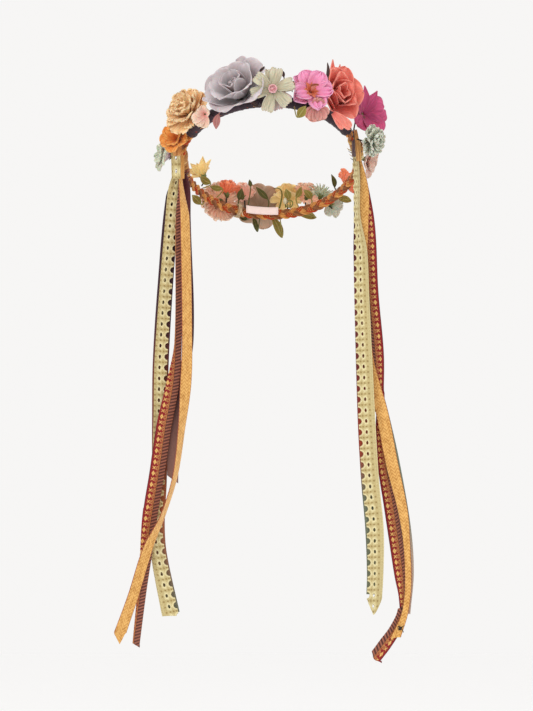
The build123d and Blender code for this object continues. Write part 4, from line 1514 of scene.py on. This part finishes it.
def lace_mesh(name, rows, scallop_right):
    """Cuts the eyelets and scallops out of the lace's grid: cells outside the cloth go, and the
    points beside a cut move onto its edge."""
    count, columns = len(rows), len(rows[0])

    def figure(u, t):
        return lace_figure((u if scallop_right else 1 - u) * LACE_WIDTH, t)

    points, tints, uvs, inside = [], [], [], []
    cell_u = rows[0][1][1] - rows[0][0][1]
    cell_t = rows[1][0][2] - rows[0][0][2]
    for i, row in enumerate(rows):
        for j, (point, u, t) in enumerate(row):
            here, holes, relief = figure(u, t)
            right = row[min(j + 1, columns - 1)][0]
            left = row[max(j - 1, 0)][0]
            below = rows[min(i + 1, count - 1)][j][0]
            above = rows[max(i - 1, 0)][j][0]
            across = (right - left) / max(1, min(j + 1, columns - 1) - max(j - 1, 0))
            down = (below - above) / max(1, min(i + 1, count - 1) - max(i - 1, 0))
            normal = across.cross(down)
            normal = normal.normalized() if normal.length > 1e-9 else Vector((0, -1, 0))
            inside.append(here)
            if abs(here) < 0.42 and 0 < j < columns - 1 and 0 < i < count - 1:
                slope_u = (figure(u + 0.002, t)[0] - figure(u - 0.002, t)[0]) / 0.004
                slope_t = (figure(u, t + 0.03)[0] - figure(u, t - 0.03)[0]) / 0.06
                steep = (slope_u * cell_u) ** 2 + (slope_t * cell_t) ** 2
                if steep > 1e-6:
                    move_u = -here * slope_u * cell_u / steep
                    move_t = -here * slope_t * cell_t / steep
                    move_u = min(0.55, max(-0.55, move_u))
                    move_t = min(0.55, max(-0.55, move_t))
                    point = point + across * move_u + down * move_t
            thread = 0.5 + 0.5 * math.sin(TAU * u * 22) * math.sin(TAU * t / 1.1)
            # Painted light: the cotton lightens where the relief stands up, as painted highlight, and a
            # darker brown rims the pricked holes, as painted shade; the thread term is the weave.
            tone = blend_of(LACE_CREAM[0], LACE_CREAM[1], 0.34 + 2.2 * relief + 0.25 * thread)
            tone = blend_of(tone, LACE_CREAM[2], 1.8 * relief)
            tone = blend_of(rgb(150, 124, 78), tone, smooth(holes / 0.4 + 0.5))
            points.append((point + normal * relief) * MM)
            tints.append(tone)
            uvs.append((u, t))
    sheets = Sheets()
    sheets.points, sheets.colours, sheets.uvs = points, tints, uvs
    for i in range(count - 1):
        for j in range(columns - 1):
            a = i * columns + j
            corners = (a, a + 1, a + columns + 1, a + columns)
            if min(inside[c] for c in corners) > -0.42 and sum(inside[c] for c in corners) > 0.05:
                sheets.faces.append(corners)
    mesh = sheets.mesh(name)
    work = bmesh.new()
    work.from_mesh(mesh)
    loose = [v for v in work.verts if not v.link_faces]
    bmesh.ops.delete(work, geom=loose, context="VERTS")
    work.to_mesh(mesh)
    work.free()
    return mesh


def make_lace(name, y, side, stations, scallop_right, section, cut, lift_top=0.0):
    rows, length = lengthwise(section, stations, y, side, END_STEP, 30, cut, lift_top)
    mesh = lace_mesh(name + "_net", rows, scallop_right)
    piece = new_object(name + "_net", mesh, LACE_COTTON, name, [name])
    thicken(piece, 0.0006)


def selvedge(u, whole):
    """0 at a ribbon's edges, 1 half a millimetre inside them."""
    return smooth(min(u, 1 - u) * whole / 0.5)


def plain_lift(whole):
    def lift(u, t):
        return 0.12 * (1 - selvedge(u, whole)) + 0.03 * math.sin(TAU * t / 1.4)
    return lift


def banded(tones, marks, whole):
    """A tint that changes down the length: tones[i] reaches marks[i] millimetres."""
    def tint(u, t):
        colour = tones[-1]
        for i in range(len(marks) - 1):
            if t < marks[i + 1]:
                share = smooth((t - marks[i]) / (marks[i + 1] - marks[i]))
                colour = blend_of(tones[i], tones[i + 1], share)
                break
        return blend_of(tuple(c * 0.6 for c in colour), colour, selvedge(u, whole))
    return tint


def make_left_trimmings():
    """From the front layer to the back one."""
    gold = [(0, -89, 2.5), (-22, -89.5, 3.5), (-40, -87.5, 6), (-60, -85.2, 9), (-184, -83, 10),
            (-227, -84.5, 11), (-270, -88.5, 7), (-318, -95, 5), (-357, -107, 5), (-390, -122, 10),
            (-438, -137, 11), (-475, -150, 12.5)]
    rows, length = lengthwise(twisted(12.5), gold, 2.5, 1, 0.55, 22,
                              cut=lambda u: 12.0 - 24.0 * abs(u - 0.45))
    hang("left_gold_twill", rows, *gold_cloth(12.5), GOLD_TWILL, "left_gold_ribbon", "gold_ribbon",
         (0.0125, length * MM), 0.0006)

    jacquard = [(0, -88, 3), (-30, -89.5, 4), (-62, -91, 6.5), (-184, -92, 7), (-227, -97.5, 13),
                (-270, -106.5, 15.2), (-314, -113, 15.5), (-357, -120, 15), (-396, -124, 12),
                (-432, -128, 9), (-486, -134, 7)]
    rows, length = lengthwise(folded(15.5), jacquard, 6.0, 1, 0.55, 34,
                              cut=lambda u: 9.0 * (u - 0.5))
    hang("left_jacquard_trim", rows, *jacquard_cloth(15.5, True), JACQUARD_WEAVE,
         "left_jacquard_ribbon", "jacquard", (0.0155, length * MM), 0.0008)

    plum = [(0, -86.5, 6), (-30, -84.5, 9), (-60, -84, 9), (-180, -81, 9), (-240, -91.5, 12),
            (-280, -97, 12), (-322, -97.5, 11)]
    rows, length = lengthwise(rippled(12), plum, 9.5, 1, 1.2, 16, cut=lambda u: 8 * (u - 0.5))
    # Painted shade: the plum satin is dark at the top, where it hangs in shade behind the gold, and mauve
    # brown lower down where it is lit.
    colouring = banded([rgb(84, 34, 38), rgb(62, 26, 40), rgb(136, 98, 88)], [0, 190, 300], 12)
    hang("left_plum_satin", rows, colouring, plain_lift(12), RIBBON_SATIN, "left_plum_ribbon", "plum",
         (0.012, length * MM), 0.0005)

    lace = [(0, -92.5, 9), (-32, -95.5, 12.5), (-60, -98, 13), (-129, -104, 12.5),
            (-205, -109, 13), (-266, -110, 13), (-325, -112, 13.5), (-365, -114.5, 13.5),
            (-396, -112, 15), (-459, -99.5, 17.5)]
    make_lace("left_lace", 13.0, 1, lace, True, folded(LACE_WIDTH), cut=lambda u: 1.5 * (u - 0.5),
              lift_top=2.4)

    backing = [(0, -92, 10), (-40, -97.5, 14), (-129, -105, 15.5), (-205, -109.5, 16), (-266, -110.5, 15.5),
               (-325, -111, 15), (-365, -113, 15), (-396, -111.5, 16), (-456, -99.5, 18)]
    rows, length = lengthwise(rippled(17, 0.5), backing, 16.5, 1, 1.3, 18)
    colouring = banded([rgb(58, 30, 44), rgb(66, 34, 46), rgb(132, 62, 40), rgb(160, 86, 50),
                  rgb(112, 118, 98)], [0, 120, 230, 330, 450], 17)
    hang("left_backing_satin", rows, colouring, plain_lift(17), RIBBON_SATIN, "left_backing_ribbon",
         "backing", (0.016, length * MM), 0.0005)


def turning_over(whole, first, last, end_fold):
    """A section that turns over between two heights: its fold line crosses from right to left.
    Lower down it turns back over between the end_fold heights, where the knot holds it."""
    radius = 0.7

    def section(t, height, u, shown):
        wide = gather(t, whole, 0.6)
        line = wide * (1 - smooth((first - height) / (first - last)))
        if height < end_fold[0]:
            line = wide * smooth((end_fold[0] - height) / (end_fold[0] - end_fold[1]))
        arc = u * wide
        if arc <= line:
            x, y = arc, 0.0
        else:
            turn = min(math.pi, (arc - line) / radius)
            back = max(0.0, arc - line - math.pi * radius)
            x, y = line + radius * math.sin(turn) - back, radius * (1 - math.cos(turn))
        low, high = min(0.0, 2 * line - wide), line
        x -= (low + high) / 2
        span = max(wide / 2, high - low)
        scale = min(1.25, shown / span)
        ripple = 0.3 * math.sin(x * 0.4 + height / 36)
        return x * scale, y + ripple - 0.7
    return section


def make_right_trimmings():
    """From the front layer to the back one, and the thread that ties two of them together."""
    lace = [(0, 85, 6), (-20, 86.5, 6.5), (-57, 87, 6.5), (-92, 90.5, 13), (-133, 91.5, 15),
            (-254, 96.5, 17), (-323, 100.5, 17.5), (-369, 105, 17.5), (-414, 105.5, 16),
            (-456, 103.5, 15)]
    make_lace("right_lace", -23.5, -1, lace, False, twisted(LACE_WIDTH),
              cut=lambda u: -16 * (1 - 2 * u) if u < 0.5 else -16 * (2 * u - 1) ** 1.5)

    backing = [(0, 85.5, 5.5), (-20, 87, 6), (-57, 87, 6), (-92, 90, 13), (-254, 96, 17), (-323, 100, 17.5),
               (-369, 104, 17.5), (-414, 104.5, 15), (-436, 103, 13)]
    rows, length = lengthwise(rippled(17, 0.5), backing, -20.0, -1, 1.3, 18)
    colouring = banded([rgb(60, 26, 40), rgb(120, 44, 44), rgb(160, 60, 40), rgb(120, 126, 104)],
                 [0, 200, 290, 350], 17)
    hang("right_backing_satin", rows, colouring, plain_lift(17), RIBBON_SATIN, "right_backing_ribbon",
         "backing", (0.0155, length * MM), 0.0005)

    gold = [(0, 87.5, 3.5), (-12, 91, 7), (-34, 94, 10), (-66, 94, 9), (-110, 92, 11), (-196, 97, 12),
            (-254, 112, 12.5), (-300, 121, 12.5), (-352, 133, 9.5), (-385, 137, 6.5),
            (-426, 138.5, 6), (-456, 135, 6), (-480, 126, 9.5)]
    rows, length = lengthwise(folded(12.5, 0.6), gold, -16.5, -1, 0.55, 22,
                              cut=lambda u: 5.0 * (0.5 - u))
    hang("right_gold_twill", rows, *gold_cloth(12.5), GOLD_TWILL, "right_knotted_pair", "gold_ribbon",
         (0.0125, length * MM), 0.0006, cad="right_gold_ribbon")

    jacquard = [(0, 88.5, 5), (-24, 93.5, 8), (-66, 98, 14), (-133, 101, 15), (-196, 107, 14),
                (-254, 109, 10), (-300, 111.5, 13), (-352, 120, 15.2), (-385, 125, 15.2),
                (-417, 129.5, 14), (-440, 132, 8.5), (-455, 131, 8), (-470, 126, 13),
                (-485, 116, 16), (-501, 104, 16)]
    rows, length = lengthwise(turning_over(15.5, -228, -276, (-440, -462)), jacquard, -13.0, -1,
                              0.55, 34, cut=lambda u: 8.0 * (u - 0.5))
    hang("right_jacquard_trim", rows, *jacquard_cloth(15.5, False), JACQUARD_WEAVE,
         "right_knotted_pair", "jacquard", (0.0155, length * MM), 0.0008, cad="right_jacquard_ribbon")

    sage = [(0, 88.5, 5), (-24, 91.5, 8), (-66, 93, 9), (-196, 99, 10), (-254, 113, 11),
            (-300, 123, 12), (-369, 135, 12), (-414, 139.5, 9), (-456, 137, 7)]
    rows, length = lengthwise(rippled(12), sage, -9.5, -1, 1.2, 16)
    colouring = banded([rgb(132, 136, 112), rgb(130, 140, 118), rgb(200, 176, 158), rgb(222, 196, 176)],
                 [0, 340, 410, 470], 12)
    hang("right_sage_satin", rows, colouring, plain_lift(12), RIBBON_SATIN, "right_sage_ribbon",
         "sage_ribbon", (0.0115, length * MM), 0.0005)
    make_thread_knot()


def make_thread_knot():
    """Black thread tied through the two right-hand ribbons: a few tight turns and two cut ends."""
    rng = random.Random(71)
    sheets = Sheets()
    base = Vector((130, -14.75 + sway(-470, -1), -470))
    black = (rgb(28, 22, 26), rgb(58, 48, 54))
    for loop in range(5):
        tilt = rng.uniform(-0.5, 0.5)
        points = []
        for k in range(33):
            turn = TAU * k / 32
            spot = Vector((2.0 * math.cos(turn), 2.9 * math.sin(turn) * (1 + 0.1 * loop),
                           (loop - 2) * 0.75 + 1.2 * tilt * math.sin(turn * 2)))
            points.append((base + spot) * MM)
        tube(sheets, points, 0.00042, black[loop % 2], around=8)
    for lean in (-1, 1):
        points = []
        for k in range(12):
            s = k / 11
            spot = Vector((1.2 + 2.6 * s, -2.9 - 0.8 * math.sin(3 * s), lean * 3.2 * s - 0.8 * s * s))
            points.append((base + spot) * MM)
        tube(sheets, points, 0.00036, black[0], around=8)
    new_object("thread_turns", sheets.mesh("thread_turns"), petal_material("black_thread", 0.8, vein=0.1),
               "right_knotted_pair", ["thread_knot"])


# Beside a tie's front end: (backwards, up) over its top and down its front.
OVER_TIE = [(6.9, 4.3), (4.3, 6.9), (0.8, 7.9), (-3.2, 4.2), (-5.2, -3.3), (-5.6, -11.3),
            (-4.6, -19.3), (-2.4, -27.3)]
LEFT_END = -84.5
RIGHT_END = 71.5


def along_curve(points, spacing):
    """Points a fixed distance apart on a smooth curve through the given ones."""
    dense = []
    for i in range(len(points) - 1):
        before, start = points[max(0, i - 1)], points[i]
        end, after = points[i + 1], points[min(len(points) - 1, i + 2)]
        for k in range(40):
            s = k / 40
            dense.append(0.5 * (2 * start + (end - before) * s
                                + (2 * before - 5 * start + 4 * end - after) * s * s
                                + (3 * start - before - 3 * end + after) * s ** 3))
    placed = [dense[0]]
    for point in dense:
        if (point - placed[-1]).length >= spacing:
            placed.append(point)
    return placed


def creases_at(u, t, phase):
    return math.sin(TAU * 1.9 * u + 0.09 * t + phase), math.sin(TAU * 4.3 * u - 0.15 * t)


def over_tie(angle, top_x, low_x, widths, first, last, lift):
    """Rows of (point, u, t) for a short end laid over a tie: it runs from first to last along
    OVER_TIE, lift off it, and is bunched into soft creases."""
    columns = 20
    origin = on_band(math.radians(angle)) / MM
    corners = [Vector((0, origin.y + back, origin.z + up)) for back, up in OVER_TIE]
    curve = along_curve(corners, END_STEP)
    rows = []
    for i in range(1, len(curve) - 1):
        t = i * END_STEP
        if not first <= t <= last:
            continue
        share = (t - first) / (last - first)
        down = (curve[i + 1] - curve[i - 1]).normalized()
        normal = Vector((0, down.z, -down.y))
        middle = top_x + (low_x - top_x) * smooth(share)
        row = []
        for j in range(columns + 1):
            u = j / columns
            broad, fine = creases_at(u, t, top_x)
            crease = 0.38 * broad + 0.2 * fine
            width = widths[0] + (widths[1] - widths[0]) * smooth(1.4 * share)
            point = curve[i] + normal * (lift + crease * (0.5 + 0.5 * math.sin(math.pi * share)))
            point.x = middle + (u - 0.5) * width
            row.append((point, u, t))
        rows.append(row)
    return rows


def strap_tint(tones, phase):
    """Painted shade: darker on the raised side of the creases that over_tie makes."""
    def tint(u, t):
        broad, fine = creases_at(u, t, phase)
        return blend_of(tones[0], tones[1], 0.62 - 0.34 * (broad + 0.5 * fine))
    return tint


def make_short_ends():
    """Gathered straps over the front of both ties, and the short lace end under the left one."""
    # Each pair runs from a strap's shaded tint to its lit one; strap_tint paints the shade into the
    # creases.
    tan, gold = (rgb(172, 106, 54), rgb(236, 178, 112)), (rgb(178, 118, 54), rgb(232, 180, 104))
    brown, plum = (rgb(150, 96, 50), rgb(226, 176, 106)), (rgb(60, 40, 48), rgb(128, 104, 100))
    for name, angle, top_x, low_x, widths, first, last, lift, tones, cloth in (
            ("left_tie_strap", LEFT_END, -92.5, -92.0, (7.0, 9.8), 1, 19, 0.9, tan, GOLD_TWILL),
            ("left_tie_gold_end", LEFT_END, -87.4, -87.6, (3.6, 3.6), 1, 38, 0.3, gold, GOLD_TWILL),
            ("right_tie_strap", RIGHT_END, 85.2, 88.8, (2.6, 5.2), 1, 34, 0.9, brown, GOLD_TWILL),
            ("right_tie_plum_end", RIGHT_END, 83.2, 83.8, (2.2, 3.6), 1, 30, 0.3, plum, RIBBON_SATIN)):
        sheets = Sheets()
        lay(sheets, over_tie(angle, top_x, low_x, widths, first, last, lift), strap_tint(tones, top_x))
        thicken(new_object(name, sheets.mesh(name), cloth, "crown"), 0.0005)
    rows = over_tie(LEFT_END, -94.2, -93.9, (9.4, 8.8), 15, 38, 0.2)
    rows = [[(point, 0.27 + 0.54 * u, t) for point, u, t in row] for row in rows]
    mesh = lace_mesh("left_tie_lace_end", rows, True)
    thicken(new_object("left_tie_lace_end", mesh, LACE_COTTON, "crown"), 0.0006)


def make_throats():
    """One throat for each hanging body. The knotted pair's is wider, to hold two ribbons."""
    # Each pair runs from a throat's tint in its pleat shade to its tint on the lit crests.
    cream, gold = (rgb(196, 172, 112), rgb(236, 220, 168)), (rgb(186, 130, 62), rgb(228, 172, 96))
    red, plum = (rgb(84, 34, 30), rgb(150, 84, 62)), (rgb(50, 24, 32), rgb(96, 50, 56))
    sage = (rgb(112, 118, 96), rgb(150, 158, 134))
    for body, y, side, tones, material, slot in (
            ("left_gold_ribbon", 2.5, 1, gold, GOLD_TWILL, "gold_ribbon"),
            ("left_jacquard_ribbon", 6.0, 1, red, JACQUARD_WEAVE, "jacquard"),
            # The dark plum tones of this throat continue the painted shade at the top of the plum satin.
            ("left_plum_ribbon", 9.5, 1, plum, RIBBON_SATIN, "plum"),
            ("left_lace", 13.0, 1, cream, LACE_COTTON, "lace"),
            ("left_backing_ribbon", 16.5, 1, plum, RIBBON_SATIN, "backing"),
            ("right_lace", -23.5, -1, cream, LACE_COTTON, "lace"),
            ("right_backing_ribbon", -20.0, -1, plum, RIBBON_SATIN, "backing"),
            ("right_knotted_pair", -14.75, -1, gold, GOLD_TWILL, "gold_ribbon"),
            ("right_sage_ribbon", -9.5, -1, sage, RIBBON_SATIN, "sage_ribbon")):
        width = 6.4 if body == "right_knotted_pair" else 3.0
        throat_under_tie(body, y, side, tones, material, width)


# ---- camera, light and floor ----
LENS = 1011.0
AWAY = 20.0
LOOK_DOWN = math.radians(2)
AIM = (-0.0035, -0.1975)    # the middle of the picture, across and up
FLOOR = -0.70
FLOOR_RADIUS = 4.1
LAMPS = {   # name: (place, aim, size, watts)
    "key": ((-0.9, -1.5, 1.2), (0, 0, -0.05), 1.2, 11),
    "fill": ((1.3, -1.2, 0.2), (0, 0, -0.2), 1.4, 3),
    "top": ((0.1, 0.3, 1.4), (0, 0, 0), 1.2, 4),
}


def make_camera(scene):
    """A long lens from far away, which looks slightly down on the crown."""
    data = bpy.data.cameras.new("camera")
    data.lens = LENS
    camera = bpy.data.objects.new("camera", data)
    camera.location = (AIM[0], -AWAY * math.cos(LOOK_DOWN), AIM[1] + AWAY * math.sin(LOOK_DOWN))
    camera.rotation_euler = (math.radians(90) - LOOK_DOWN, 0, 0)
    scene.collection.objects.link(camera)
    scene.camera = camera


def make_light(scene):
    """A bright even surround and three soft lamps."""
    world = bpy.data.worlds.new("studio")
    world.use_nodes = True
    background = world.node_tree.nodes["Background"]
    background.inputs["Color"].default_value = (1.0, 0.99, 0.98, 1)
    background.inputs["Strength"].default_value = 0.93
    scene.world = world
    for name, (place, aim, size, power) in LAMPS.items():
        data = bpy.data.lights.new(name, "AREA")
        data.shape = "DISK"
        data.size = size
        data.energy = power
        lamp = bpy.data.objects.new(name, data)
        lamp.location = place
        lamp.rotation_euler = (Vector(aim) - Vector(place)).to_track_quat("-Z", "Y").to_euler()
        scene.collection.objects.link(lamp)


def make_floor(scene):
    """A pale disk below the ends of the ribbons."""
    rings, around = 5, 72
    sheets = Sheets()
    rows = []
    for ring in range(rings):
        radius = FLOOR_RADIUS * (ring + 0.2) / (rings - 0.8)
        row = []
        for k in range(around):
            turn = TAU * k / around
            point = Vector((radius * math.cos(turn), radius * math.sin(turn), FLOOR))
            row.append((point, (1, 1, 1), (ring, k)))
        rows.append(row)
    sheets.grid(rows, closed=True)
    sheets.cap(0, around, flip=True)
    mesh = sheets.mesh("pale_floor")
    material, _, shader = new_material("pale_paper", 0.9)
    shader.inputs["Base Color"].default_value = (0.985, 0.985, 0.985, 1)
    mesh.materials.append(material)
    floor = bpy.data.objects.new("pale_floor", mesh)
    scene.collection.objects.link(floor)


for make in (grey_rose, cosmos, pink_azalea, coral_rose, magenta_blossom, small_front_blossoms,
             back_blossoms, make_leaves, make_buds, make_calyxes, make_tendril, make_braid, make_tape,
             make_ties, make_twine, make_label, make_carried_over, make_left_trimmings,
             make_right_trimmings, make_throats, make_short_ends):
    make()

studio = bpy.context.scene
studio.view_settings.view_transform = "Standard"
make_camera(studio)
make_light(studio)
make_floor(studio)
